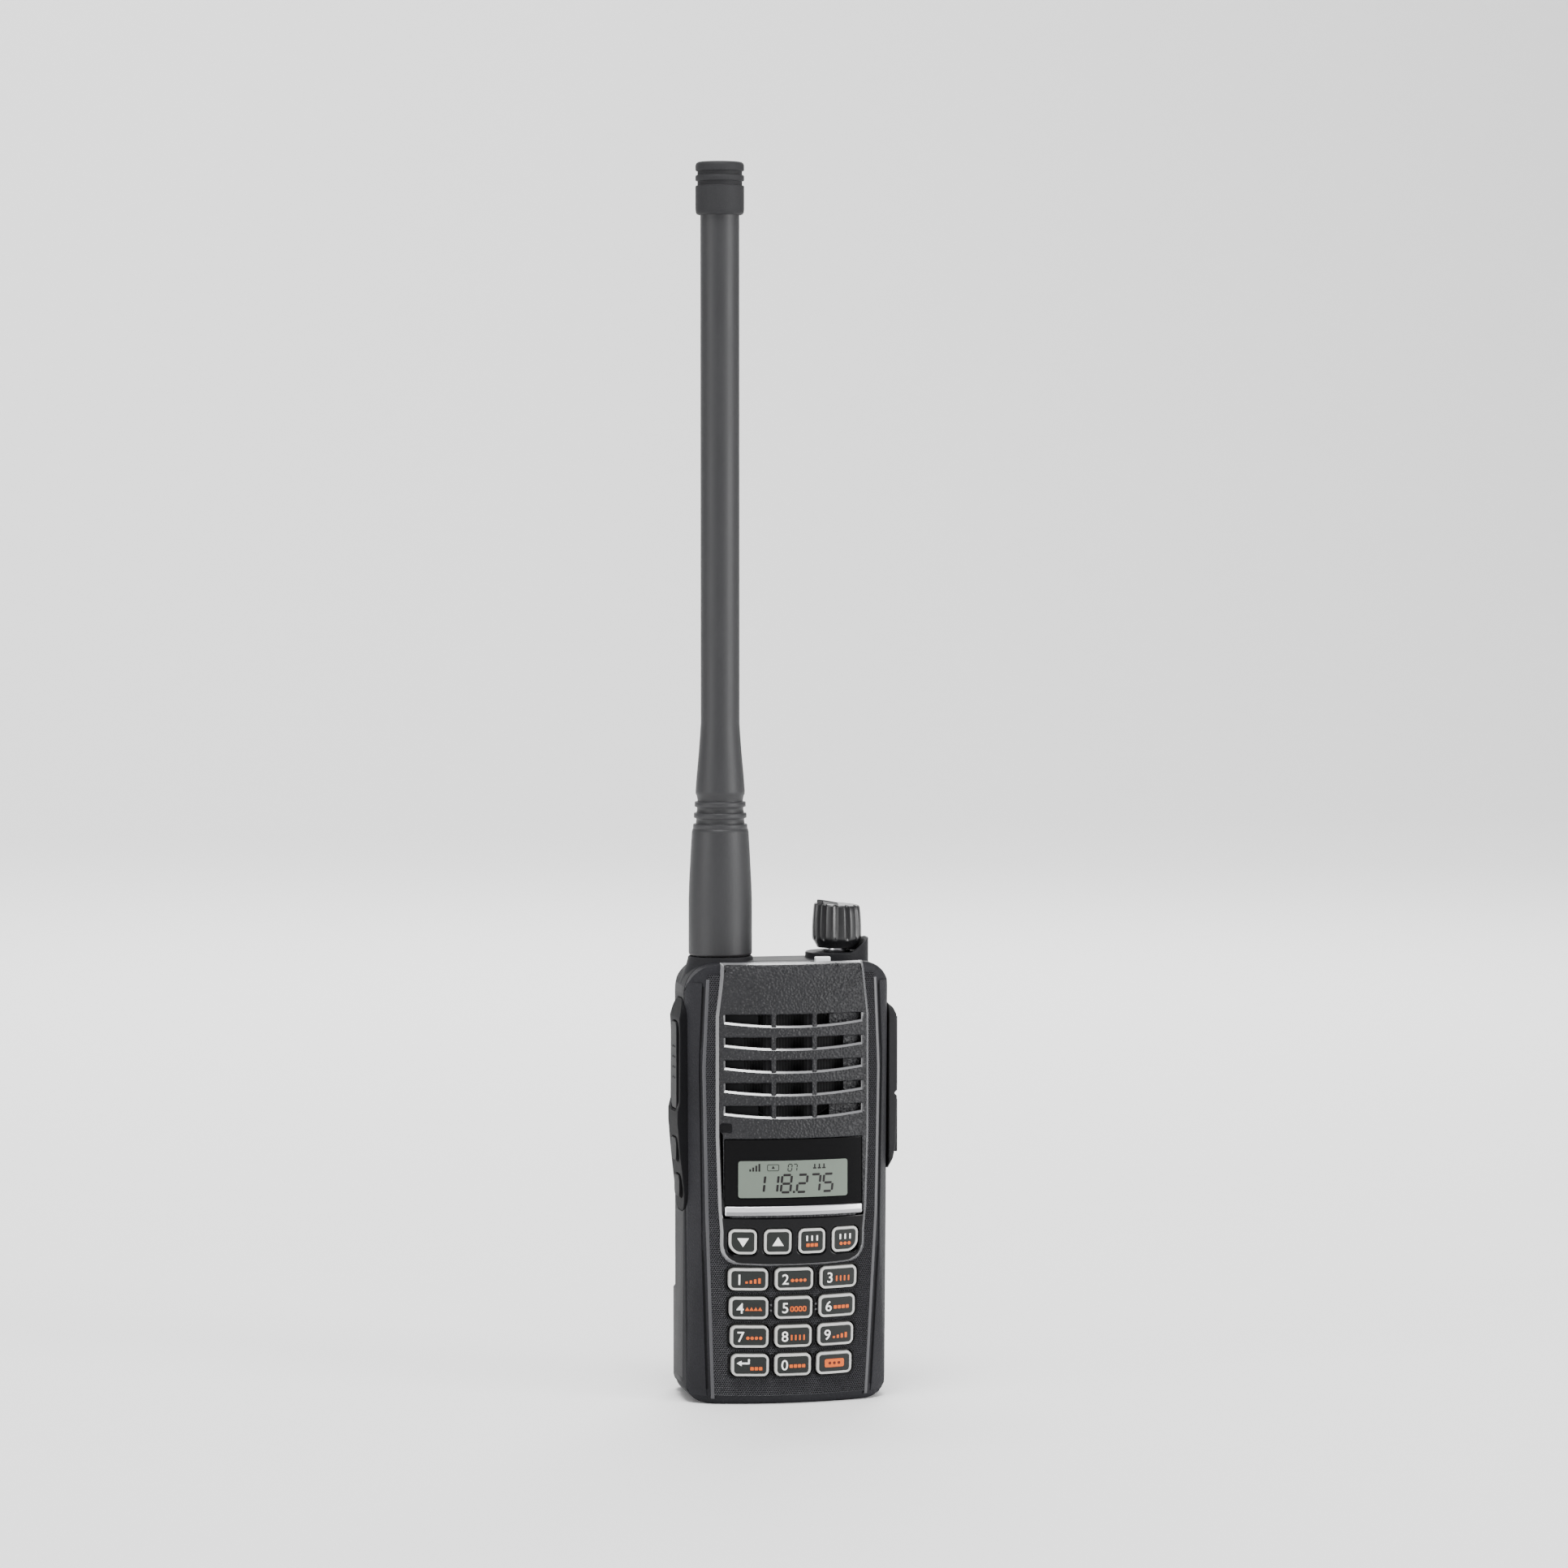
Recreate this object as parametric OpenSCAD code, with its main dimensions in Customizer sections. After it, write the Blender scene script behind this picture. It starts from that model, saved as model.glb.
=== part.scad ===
// Handheld airband radio, an assembly of separate pieces.
// Frame: +Z up, the front with its keypad faces -Y, origin at the centre of the base.
// The antenna stands over the left shoulder and the volume knob over the right, seen from the front.

/* [Body] */
// Width across the flat sides
body_w = 52.2; // [51:0.1:53]
// Height of the case, without antenna and knob
body_h = 111; // [110:0.5:112]
// Wall thickness of the case halves
wall = 1.8; // [1.6:0.1:2]
// How far the keypad face leans back below the display, in degrees
face_tilt = 4; // [3.5:0.25:4.5]
// Radius of the crowned front face
crown_r = 68; // [66:1:72]
// Radius of the lower corners of the case
base_corner_r = 6; // [5:0.5:7]
// Radius of the upper shoulders of the case
shoulder_r = 8; // [7:0.5:9]

/* [Front panel] */
// How far the front panel stands proud of the face
panel_proud = 1.2; // [1:0.1:1.4]
// Half width of the front panel
panel_half_w = 18.9; // [18.7:0.1:19.2]
// Number of speaker slots
slot_count = 5; // [3:1:5]
// Height from one speaker slot to the next
slot_pitch = 5.7; // [5.4:0.1:5.8]

/* [Keys] */
// Width of a number key
key_w = 9.7; // [9:0.1:9.9]
// Height of a number key
key_h = 5.6; // [5:0.1:5.8]
// Height from one row of number keys to the next
row_pitch = 7.3; // [7:0.1:7.4]
// Width of a function key
function_key_w = 6.9; // [6.5:0.1:7.1]
// Height of a function key
function_key_h = 6.3; // [6:0.1:6.5]
// Gap around every key and button
key_gap = 0.25; // [0.2:0.05:0.35]
// How far a key travels when it is pressed
key_travel = 0.5; // [0.3:0.1:0.5]

/* [Antenna] */
// Length of the antenna above the case
antenna_l = 198.5; // [150:0.5:220]
// Diameter of the antenna's foot
antenna_foot_d = 16; // [15.6:0.1:16.5]
// Diameter of the slim whip
whip_d = 9.8; // [8:0.1:11]
// Diameter of the cap at the antenna's tip
tip_cap_d = 12.2; // [12:0.1:13]

/* [Volume knob] */
// Largest diameter of the knob
knob_d = 12.6; // [11.5:0.1:12.8]
// Height of the knob
knob_h = 11.1; // [10:0.1:12]
// Number of grip flutes
flute_count = 12; // [8:1:12]

/* [Battery] */
// Thickness of the battery pack
battery_t = 10.7; // [10:0.1:11]
// Height of the battery pack
battery_h = 88; // [86:0.5:88]

/* [Hidden] */
$fn = 48;
e = 0.01;
far = 60;                       // beyond every side of the case
tall = 150;                     // beyond its top

FUNCTION_KEYS = ["key_down", "key_up", "key_memory", "key_clear"];
NUMBER_KEYS = ["key_1", "key_2", "key_3", "key_4", "key_5", "key_6",
               "key_7", "key_8", "key_9", "key_enter", "key_0", "key_shift"];
CASE_NODES = ["front_case", "front_panel", "function_bezel", "display_window", "accent_bar", "lcd_glass",
              "lcd_backlight", "keypad_mat", "front_board", "microphone", "speaker", "speaker_cloth",
              "status_lens", "case_seal", "rear_chassis", "case_screws", "main_board", "shield_cans",
              "side_panel", "side_switches", "antenna_jack", "volume_control", "audio_jacks",
              "battery_springs", "clip_inserts", "latch_pin"];
BATTERY_NODES = ["battery_case", "battery_cover", "battery_cells", "battery_pads", "charge_pads"];
MOVING_NODES = ["ptt_button", "upper_side_button", "lower_side_button", "knob_shaft", "volume_knob",
                "antenna_contact", "antenna_sleeve", "antenna_element", "antenna_whip", "antenna_cap",
                "jack_cover", "battery_latch"];

half_w = body_w / 2;

// Depths along Y
face_y = -16.8;                 // crown of the face above the knee
knee_z = 48;                    // where the keypad face starts to lean back
split_y = -6.5;                 // parting plane of the two case halves
split_gap = 0.4;                // room for the seal in it
back_y = 7;                     // back of the chassis
hump_back_y = 12.5;             // back of the thicker part above the battery
pack_gap = 0.3;                 // between the chassis and the battery pack
pack_y = back_y + pack_gap;
battery_back_y = pack_y + battery_t;

// Levels of the case: height, half width of the face, Y of the side facet's rear edge, edge chamfer
// (the first and last lie just beyond the case, whose outline cuts them off)
LEVELS = [[-1, 18.4, -5.9, 1.7], [2.5, 20, -6.3, 0], [knee_z, 21.9, -7.8, 0], [85, 22.6, -8.6, 0],
          [body_h - 2.5, 21.6, -9.3, 0], [body_h + 1, 20.7, -9, 1.3]];
crown_steps = 4;                // crown points on each side of the middle
crown_step_x = 4.1;
facet_x = half_w - 0.7;         // where the slanted facet meets the flat side
side_margin = 0.7;              // how far the levels reach beyond the flat sides
facet_run = 5;
back_corner = 3;

slot_top = 98.5;                // top of the highest speaker slot
slot_edge_h = 2.0;              // height of a slot at its ends
slot_bow = 1.1;                 // how much lower its middle is
slot_half_w = 17.6;
slot_bar_x = [-5.4, 5.0];       // bars that cross every slot
slot_bar_w = 1.2;

window_z = [50.8, 67.4];
window_half_w = 17.6;
lcd_half_w = 14;
lcd_z = [52.6, 62];
bar_z = [48.1, 50.5];
panel_foot_z = 35.8;
panel_foot_w = panel_half_w - 1.1;
panel_foot_r = 4.5;

function_row_z = 41.6;
function_pitch = 8.7;
first_row_z = 32;
column_x = 11.5;                // outer columns in the first row
column_taper = 0.25;            // how much closer they stand in each row below
key_narrowing = 0.15;           // how much narrower each row below is
key_proud = 1.0;
flange_y = 4.3;                 // depth of the key flanges below the crown
flange_t = 0.8;
flange_lip = 0.45;
key_r = 1.4;
mat_y = flange_y + flange_t + key_travel + 0.1;
front_board_y = mat_y + 1.1;
front_board_half_w = 16.5;

speaker_z = 86;
speaker_r = 15;
speaker_y = 4.1;
mic_x = -17.6;
mic_z = 70.4;
lens_x = 8.3;
lens_y = -11.5;

// Antenna and knob axes
antenna_x = -15.5;
knob_x = 14.5;
boss_top = 112;
antenna_boss_r = 9.2;
knob_boss_r = 8;
antenna_z = boss_top + 0.2;
sleeve_h = 12.2;
sleeve_bore_r = 5.9;
jack_r = 4.7;
jack_top = 121.5;
knob_z = 113.8;
shaft_r = 2.5;
knob_fit = 0.05;                // running clearance of the shaft in its bushing

// Left side panel and its buttons
panel_y = [-8, 5];
side_panel_z = [48.2, 101.8];
side_seat_x = half_w - 0.9;
ptt_z = [74, 95.8];
upper_button_z = [61, 66.6];
lower_button_z = [51.8, 57.2];
button_y = [-5.4, 1.6];

// Right side jack cover
cover_z = [57.8, 99.8];
cover_y = [-7.4, 3.4];
cover_x = 29;
cover_seat_x = half_w + 0.3;
pocket_z = [62, 96];
pocket_half_y = 3.9;
jack_z = [72, 86];
jack_y = -2;
mic_jack_r = 1.25;
speaker_jack_r = 1.75;
jack_depth = 6;
jack_face_x = half_w - 2;

// Posts, as X, Z and the depth where the front post starts; the screws run in them
POSTS = [[-18.8, 9, -10.2], [18.8, 9, -10.2], [-19.8, 99, -12.6], [19.8, 99, -12.6]];
screw_r = 1;

main_board_y = 0.6;
board_t = 1;

latch_half_w = 9;
latch_pin_y = 4.6;
latch_pin_z = 2.3;
latch_pin_r = 0.75;
latch_tip_y = 12;

clip_x = 9;
clip_z = 100;
insert_r = 1.25;
insert_l = 5;

function crown(x) = crown_r - sqrt(crown_r * crown_r - x * x);
function face_front(z) = face_y + max(0, knee_z - z) * tan(face_tilt);
function column_of(i) = i % 3 - 1;
function row_of(i) = floor(i / 3);
function key_x(i) = column_of(i) * (column_x - column_taper * row_of(i));
function key_z(i) = first_row_z - row_pitch * row_of(i);
function key_width(i) = key_w - key_narrowing * row_of(i);
function function_key_x(i) = (i - 1.5) * function_pitch;

// A level section of the case, from the crown round to the back.
function section(level, inset, back) = let(
    w = level[1] - inset * 0.8,
    front = face_front(level[0]) + inset + level[3],
    x = half_w + side_margin - inset,
    corner = facet_x - inset - level[3]) concat(
    [[-w, front + crown(w)]],
    [for (k = [-crown_steps : crown_steps]) [crown_step_x * k, front + crown(crown_step_x * k)]],
    [[w, front + crown(w)]],
    [[corner, level[2]], [x, level[2] + facet_run], [x, back - back_corner], [corner, back]],
    [[-corner, back], [-x, back - back_corner], [-x, level[2] + facet_run], [-corner, level[2]]]);

module rounded_rect(w, h, r) {
    square([w - 2 * r, h], center = true);
    square([w, h - 2 * r], center = true);
    for (sx = [-1, 1], sz = [-1, 1])
        translate([sx * (w / 2 - r), sz * (h / 2 - r)]) circle(r);
}

// Stands a flat drawing of X and Z upright, from y0 to y1.
module upright(y0, y1) {
    translate([0, y1, 0]) rotate([90, 0, 0]) linear_extrude(y1 - y0) children();
}

// Turns a flat drawing of Y and Z sideways, from x0 to x1.
module sideways(x0, x1) {
    translate([x0, 0, 0]) rotate([90, 0, 90]) linear_extrude(x1 - x0) children();
}

// A cylinder along Y, from y0 to y1.
module bar_y(r, x, z, y0, y1) {
    translate([x, y0, z]) rotate([-90, 0, 0]) cylinder(r = r, h = y1 - y0);
}

// A cylinder along X, from x0 to x1.
module bar_x(r, y, z, x0, x1) {
    translate([x0, y, z]) rotate([0, 90, 0]) cylinder(r = r, h = x1 - x0);
}

// A box from one corner to the other.
module box(low, high) {
    translate(low) cube(high - low);
}

// The upper face: Y runs inwards from its crown.
module on_upper() {
    translate([0, face_y, 0]) children();
}

// The keypad face, leaning back below the knee.
module on_keypad() {
    translate([0, face_y, knee_z]) rotate([face_tilt, 0, 0]) translate([0, 0, -knee_z]) children();
}

// A curved plate that follows the crown, between two depths below it.
module crown_plate(z0, z1, y0, y1) {
    translate([0, crown_r, z0]) difference() {
        cylinder(r = crown_r - y0, h = z1 - z0, $fn = 180);
        translate([0, 0, -1]) cylinder(r = crown_r - y1, h = z1 - z0 + 2, $fn = 180);
        translate([-crown_r * 2, -crown_r * 0.8, -1]) cube([crown_r * 4, crown_r * 3, z1 - z0 + 2]);
    }
}

// Outline of the case seen from the front, drawn in by an inset.
module front_outline(inset) {
    r = base_corner_r - inset;
    s = shoulder_r - inset;
    x = half_w - inset;
    translate([-x, base_corner_r]) square([2 * x, body_h - base_corner_r - shoulder_r]);
    translate([-x + r, inset]) square([2 * (x - r), r + e]);
    translate([-x + s, body_h - shoulder_r - e]) square([2 * (x - s), s + e]);
    for (side = [-1, 1]) {
        translate([side * (x - r), base_corner_r]) circle(r);
        translate([side * (x - s), body_h - shoulder_r]) circle(s);
    }
}

// The closed form of the case, drawn in by an inset, without the battery pack.
module case_form(inset, back) {
    intersection() {
        hull() for (level = LEVELS)
            translate([0, 0, level[0]]) linear_extrude(e) polygon(section(level, inset, back));
        upright(-far, far) front_outline(inset);
    }
}

module case_shell() {
    difference() {
        case_form(0, back_y);
        case_form(wall, back_y - wall);
    }
}

// Right half of the front panel's outline, from its top down to its rounded foot, as X and Z.
PANEL_SIDE = concat(
    [[panel_half_w - 1.4, body_h - 1.4], [panel_half_w, 98], [panel_half_w, 68], [panel_half_w - 0.6, 50],
     [panel_foot_w, 44]],
    [for (a = [0 : 18 : 90]) [panel_foot_w - panel_foot_r * (1 - cos(a)),
                              panel_foot_z + 0.3 + panel_foot_r * (1 - sin(a))]],
    [[8, panel_foot_z + 0.1]]);

module panel_outline() {
    last = len(PANEL_SIDE) - 1;
    polygon(concat(PANEL_SIDE, [[0, panel_foot_z]],
        [for (k = [last : -1 : 0]) [-PANEL_SIDE[k][0], PANEL_SIDE[k][1]]]));
}

// One speaker slot: straight above, bowed below.
module slot_outline() {
    steps = 6;
    polygon(concat([[-slot_half_w, 0], [slot_half_w, 0]],
        [for (k = [steps : -1 : -steps]) let(t = k / steps)
            [slot_half_w * t, -slot_edge_h - slot_bow * (1 - t * t)]]));
}

module speaker_openings() {
    on_upper() difference() {
        upright(-4, 6) for (i = [0 : slot_count - 1]) translate([0, slot_top - i * slot_pitch]) slot_outline();
        for (x = slot_bar_x) box([x - slot_bar_w / 2, -5, 60], [x + slot_bar_w / 2, 7, 105]);
    }
}

module key_openings(grow) {
    on_keypad() upright(-4, 9) {
        for (i = [0 : 11]) translate([key_x(i), key_z(i)])
            rounded_rect(key_width(i) + grow, key_h + grow, key_r + grow / 2);
        function_openings(grow);
    }
}

module function_openings(grow) {
    for (i = [0 : 3]) translate([function_key_x(i), function_row_z])
        rounded_rect(function_key_w + grow, function_key_h + grow, key_r + grow / 2);
}

module window_seat(shrink) {
    box([-window_half_w + shrink, -far, bar_z[0] + shrink], [window_half_w - shrink, far, window_z[1] - shrink]);
}

module mic_opening() {
    on_upper() bar_y(0.8, mic_x, mic_z, -4, 6);
}

module front_case() {
    color([0.16, 0.16, 0.17]) {
        difference() {
            case_shell();
            box([-far, split_y - split_gap / 2, -far], [far, far, tall]);
            key_openings(2 * key_gap);
            speaker_openings();
            on_upper() box([-lcd_half_w - 1.1, -3, lcd_z[0] - 1.1], [lcd_half_w + 1.1, 9, lcd_z[1] + 1.1]);
            mic_opening();
            side_panel_pocket();
            box([lens_x - 2.05, lens_y - 0.9, body_h - 4], [lens_x + 2.05, lens_y + 0.9, body_h + 4]);
            boss_clearance();
        }
        for (p = POSTS) difference() {
            bar_y(2, p[0], p[1], p[2], split_y - split_gap / 2);
            bar_y(screw_r + 0.05, p[0], p[1], -8.8, 0);
        }
    }
}

module front_panel() {
    color([0.2, 0.2, 0.21]) difference() {
        on_upper() intersection() {
            crown_plate(knee_z + 0.05, body_h, -panel_proud, -0.03);
            upright(-far, far) panel_outline();
        }
        speaker_openings();
        window_seat(0);
        mic_opening();
    }
}

module function_bezel() {
    color([0.05, 0.05, 0.06]) on_keypad() difference() {
        intersection() {
            crown_plate(panel_foot_z - 1, knee_z - 0.3, -panel_proud, -0.03);
            upright(-far, far) panel_outline();
        }
        upright(-far, far) function_openings(2 * key_gap);
    }
}

module display_window() {
    color([0.04, 0.04, 0.05]) on_upper() intersection() {
        crown_plate(window_z[0], window_z[1], -panel_proud + 0.2, -0.05);
        window_seat(0.1);
    }
}

module accent_bar() {
    color([0.75, 0.75, 0.76]) on_upper() intersection() {
        crown_plate(bar_z[0], bar_z[1], -panel_proud - 0.3, -0.05);
        window_seat(0.1);
    }
}

module lcd_glass() {
    color([0.55, 0.6, 0.55]) on_upper()
        box([-lcd_half_w - 0.8, 2.3, lcd_z[0] - 0.8], [lcd_half_w + 0.8, 3.7, lcd_z[1] + 0.8]);
}

module lcd_backlight() {
    color("white") on_upper() box([-lcd_half_w - 2, 3.8, lcd_z[0] - 2], [lcd_half_w + 2, 5.4, lcd_z[1] + 2]);
}

module keypad_mat() {
    color([0.25, 0.25, 0.26]) on_keypad()
        box([-front_board_half_w, mat_y, 5.5], [front_board_half_w, mat_y + 1, 46]);
}

module front_board() {
    color([0.1, 0.35, 0.2]) on_keypad()
        box([-front_board_half_w, front_board_y, 5], [front_board_half_w, front_board_y + board_t, 66]);
}

module microphone() {
    color([0.6, 0.6, 0.6]) on_upper() difference() {
        bar_y(2, mic_x, mic_z, 4.9, 7.1);
        bar_y(0.5, mic_x, mic_z, 4, 5.5);
    }
}

module speaker() {
    color([0.3, 0.3, 0.3]) on_upper() {
        difference() {
            bar_y(speaker_r, 0, speaker_z, speaker_y, speaker_y + 2.4);
            bar_y(speaker_r - 1.5, 0, speaker_z, speaker_y - 1, speaker_y + 1.2);
        }
        bar_y(5.5, 0, speaker_z, speaker_y + 0.6, speaker_y + 4.9);
    }
}

module speaker_cloth() {
    color([0.08, 0.08, 0.08]) on_upper() bar_y(speaker_r - 0.4, 0, speaker_z, speaker_y - 0.35, speaker_y - 0.05);
}

module status_lens() {
    color([0.95, 0.95, 0.95]) box([lens_x - 1.95, lens_y - 0.8, body_h - 5], [lens_x + 1.95, lens_y + 0.8, body_h + 1.3]);
}

module case_seal() {
    color([0.1, 0.1, 0.1]) difference() {
        intersection() {
            case_form(0.4, back_y - 0.4);
            box([-far, split_y - 0.15, -far], [far, split_y + 0.15, tall]);
        }
        case_form(wall - 0.4, back_y - wall);
        side_panel_pocket();
        boss_clearance();
    }
}

module hump() {
    intersection() {
        sideways(-half_w, half_w) polygon([[back_y - 1, battery_h + 0.9], [back_y, battery_h + 0.9],
            [hump_back_y, battery_h + 2.4], [hump_back_y, body_h - 2.5], [hump_back_y - 2, body_h], [back_y - 1, body_h]]);
        upright(0, far) front_outline(2.5);
    }
}

module rear_chassis() {
    color([0.15, 0.15, 0.16]) difference() {
        union() {
            difference() {
                case_shell();
                box([-far, -far, -far], [far, split_y + split_gap / 2, tall]);
            }
            hump();
            antenna_boss();
            knob_boss();
            for (p = POSTS) bar_y(2.6, p[0], p[1], main_board_y + board_t + 0.1, back_y);
            box([-11.5, main_board_y + board_t + 0.3, 0], [11.5, back_y, 5.8]);
        }
        for (x = [-clip_x, clip_x]) bar_y(2.25, x, clip_z, hump_back_y - insert_l - 0.1, far);
        for (p = POSTS) {
            bar_y(screw_r + 0.2, p[0], p[1], -far, far);
            bar_y(2, p[0], p[1], back_y - 1.4, p[1] > 50 ? hump_back_y + 1 : back_y + 1);
        }
        side_panel_pocket();
        button_openings(0.3);
        sideways(half_w - 4, far) translate([jack_y, (pocket_z[0] + pocket_z[1]) / 2])
            rounded_rect(2 * pocket_half_y, pocket_z[1] - pocket_z[0], 2);
        translate([antenna_x, 0, body_h - 10]) cylinder(r = jack_r + 0.05, h = 20);
        translate([knob_x, 0, body_h - 9]) cylinder(r = 3.5, h = 20);
        for (x = [-6, 0, 6]) box([x - 1.2, back_y - 3, 20], [x + 1.2, far, 26]);
        box([-latch_half_w - 0.3, 2.6, -1], [latch_half_w + 0.3, far, 4.2]);
        bar_x(latch_pin_r + 0.03, latch_pin_y, latch_pin_z, -11, 11);
    }
}

// Room for the two raised seats where they reach over the parting plane.
module boss_clearance() {
    translate([antenna_x, 0, body_h - 3.1]) cylinder(r = antenna_boss_r + 0.1, h = 20);
    translate([knob_x, 0, body_h - 2.1]) cylinder(r = knob_boss_r + 0.1, h = 20);
}

// Raised seat of the antenna, flared at its foot.
module antenna_boss() {
    translate([antenna_x, 0, body_h - 6]) rotate_extrude() polygon([[0, 3], [antenna_boss_r, 3],
        [8.6, 4.4], [8.1, 6], [8.1, 7], [0, 7]]);
}

// Raised seat of the knob with a guard that climbs on its outer side.
module knob_boss() {
    translate([knob_x, 0, body_h - 2]) cylinder(r = knob_boss_r, h = 3.6);
    intersection() {
        translate([knob_x, 0, body_h - 2]) difference() {
            cylinder(r = knob_boss_r, h = 7.2);
            cylinder(r = knob_boss_r - 1.2, h = 9);
        }
        upright(-9, 9) polygon([[knob_x + 2, 111], [knob_x + 2, 112.6], [knob_x + 6, 115], [knob_x + 7.4, 116.2],
                                [knob_x + 9, 116.2], [knob_x + 9, 111]]);
    }
}

module case_screws() {
    color([0.7, 0.7, 0.7]) for (p = POSTS) {
        bar_y(screw_r, p[0], p[1], -8.6, back_y - 1.3);
        bar_y(1.9, p[0], p[1], back_y - 1.4 + e, back_y - 0.2);
    }
}

module main_board() {
    color([0.1, 0.35, 0.2]) difference() {
        box([-21.4, main_board_y, 6], [21.4, main_board_y + board_t, 96]);
        for (p = POSTS) bar_y(screw_r + 0.3, p[0], p[1], -far, far);
    }
}

module shield_cans() {
    color([0.75, 0.75, 0.77]) for (can = [[-16, 12, 20, 30], [-16, 46, 26, 24], [-12, 74, 20, 18]])
        box([can[0], main_board_y - 2.4, can[1]], [can[0] + can[2], main_board_y - e, can[1] + can[3]]);
}

module side_panel_plan(grow) {
    translate([(panel_y[0] + panel_y[1]) / 2, (side_panel_z[0] + side_panel_z[1]) / 2])
        rounded_rect(panel_y[1] - panel_y[0] + 2 * grow, side_panel_z[1] - side_panel_z[0] + 2 * grow, 5 + grow);
}

module side_panel_pocket() {
    sideways(-far, -side_seat_x) side_panel_plan(0.1);
}

module button_plan(z, grow) {
    translate([(button_y[0] + button_y[1]) / 2, (z[0] + z[1]) / 2])
        rounded_rect(button_y[1] - button_y[0] + 2 * grow, z[1] - z[0] + 2 * grow, 1.6 + grow);
}

module button_openings(grow) {
    sideways(-far, -half_w + 4) {
        button_plan(ptt_z, grow);
        button_plan(upper_button_z, grow);
        button_plan(lower_button_z, grow);
    }
}

module side_panel() {
    color([0.14, 0.14, 0.15]) difference() {
        intersection() {
            sideways(-30, -side_seat_x - 0.05) side_panel_plan(0);
            upright(-12, 9) polygon([[-24, 48], [-26.2, 48], [-26.4, 54], [-27.3, 62], [-28, 70.5], [-28, 73.6],
                [-27.4, 76], [-27.3, 93], [-27.5, 97], [-26.8, 100], [-26.1, 102], [-24, 102]]);
        }
        button_openings(key_gap);
    }
}

// A button with the flange that keeps it in the case.
module side_button(z, x) {
    sideways(-x, -24) button_plan(z, 0);
    sideways(-24.1, -23.7) button_plan(z, 0.7);
}

module ptt_button() { color([0.17, 0.17, 0.18]) side_button(ptt_z, 27.8); }
module upper_side_button() { color([0.17, 0.17, 0.18]) side_button(upper_button_z, 27.9); }
module lower_side_button() { color([0.17, 0.17, 0.18]) side_button(lower_button_z, 27.1); }

module side_switches() {
    color([0.5, 0.5, 0.5]) {
        box([-22.2, -5.2, 52], [-21.6, 0.4, 96]);
        for (z = [ptt_z, upper_button_z, lower_button_z])
            translate([0, 0, (z[0] + z[1]) / 2]) box([-22.5, -3.4, -1.5], [-22.1, -0.4, 1.5]);
    }
}

module jack_cover() {
    color([0.13, 0.13, 0.14]) {
        intersection() {
            sideways(cover_seat_x, cover_x + 1) translate([(cover_y[0] + cover_y[1]) / 2, (cover_z[0] + cover_z[1]) / 2])
                rounded_rect(cover_y[1] - cover_y[0], cover_z[1] - cover_z[0], 3);
            upright(-12, 9) polygon([[cover_seat_x, cover_z[0]], [cover_x - 1.2, 60.6], [cover_x - 0.4, 64],
                [cover_x, 78], [cover_x - 0.3, 97], [cover_x - 1.1, 98.6], [cover_seat_x, cover_z[1]]]);
        }
        sideways(half_w - 1, cover_seat_x + e) translate([jack_y, (pocket_z[0] + pocket_z[1]) / 2])
            rounded_rect(2 * pocket_half_y - 0.7, pocket_z[1] - pocket_z[0] - 0.8, 1.7);
    }
}

module audio_jacks() {
    color([0.2, 0.2, 0.2]) difference() {
        union() {
            box([17.5, jack_y - 2.8, 66], [jack_face_x - 1 + e, jack_y + 2.4, 92]);
            box([jack_face_x - 1, jack_y - 4, 61], [jack_face_x, jack_y + 4, 97]);
        }
        bar_x(mic_jack_r, jack_y, jack_z[0], jack_face_x - jack_depth, 30);
        bar_x(speaker_jack_r, jack_y, jack_z[1], jack_face_x - jack_depth, 30);
    }
}

module antenna_jack() {
    color([0.75, 0.72, 0.66]) translate([antenna_x, 0, 0]) difference() {
        union() {
            translate([0, 0, 103.5]) cylinder(r = jack_r, h = jack_top - 103.5);
            translate([0, 0, 105.5]) cylinder(r = 5.1, h = 2.5);
            bar_x(0.9, 0, 118.2, -5.5, 5.5);
        }
        translate([0, 0, 113]) cylinder(r = 3.9, h = 10);
        translate([0, 0, 105]) cylinder(r = 1, h = 10);
    }
}

module antenna_contact() {
    color([0.85, 0.72, 0.35]) translate([antenna_x, 0, antenna_z]) {
        translate([0, 0, 1.6]) cylinder(r = 0.7, h = 8.2);
        translate([0, 0, 9.7]) cylinder(r = sleeve_bore_r - 0.08, h = 1.2);
    }
}

module antenna_sleeve() {
    color([0.75, 0.72, 0.66]) translate([antenna_x, 0, antenna_z]) difference() {
        translate([0, 0, 0.1]) cylinder(r = 6.9, h = sleeve_h - 0.1);
        translate([0, 0, -1]) cylinder(r = sleeve_bore_r, h = sleeve_h);
    }
}

module antenna_element() {
    color([0.8, 0.5, 0.3]) translate([antenna_x, 0, antenna_z]) {
        translate([0, 0, sleeve_h + 0.1]) cylinder(r = 2, h = 6);
        translate([0, 0, sleeve_h + 6]) cylinder(r = 1.6, h = antenna_l - sleeve_h - 16);
    }
}

ring_low = 31.6;                // foot of the ribbed stretch above the antenna's base
ring_high = 40.8;
rib_count = 3;
rib_pitch = 2.8;
flare_top = 58.3;

// Profile of one rib and the groove above it, as radius and height.
RIB = [[0.15, 0], [0.65, 0.35], [0.6, 1.4], [0.05, 1.75], [-0.1, rib_pitch - 0.4]];

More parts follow.
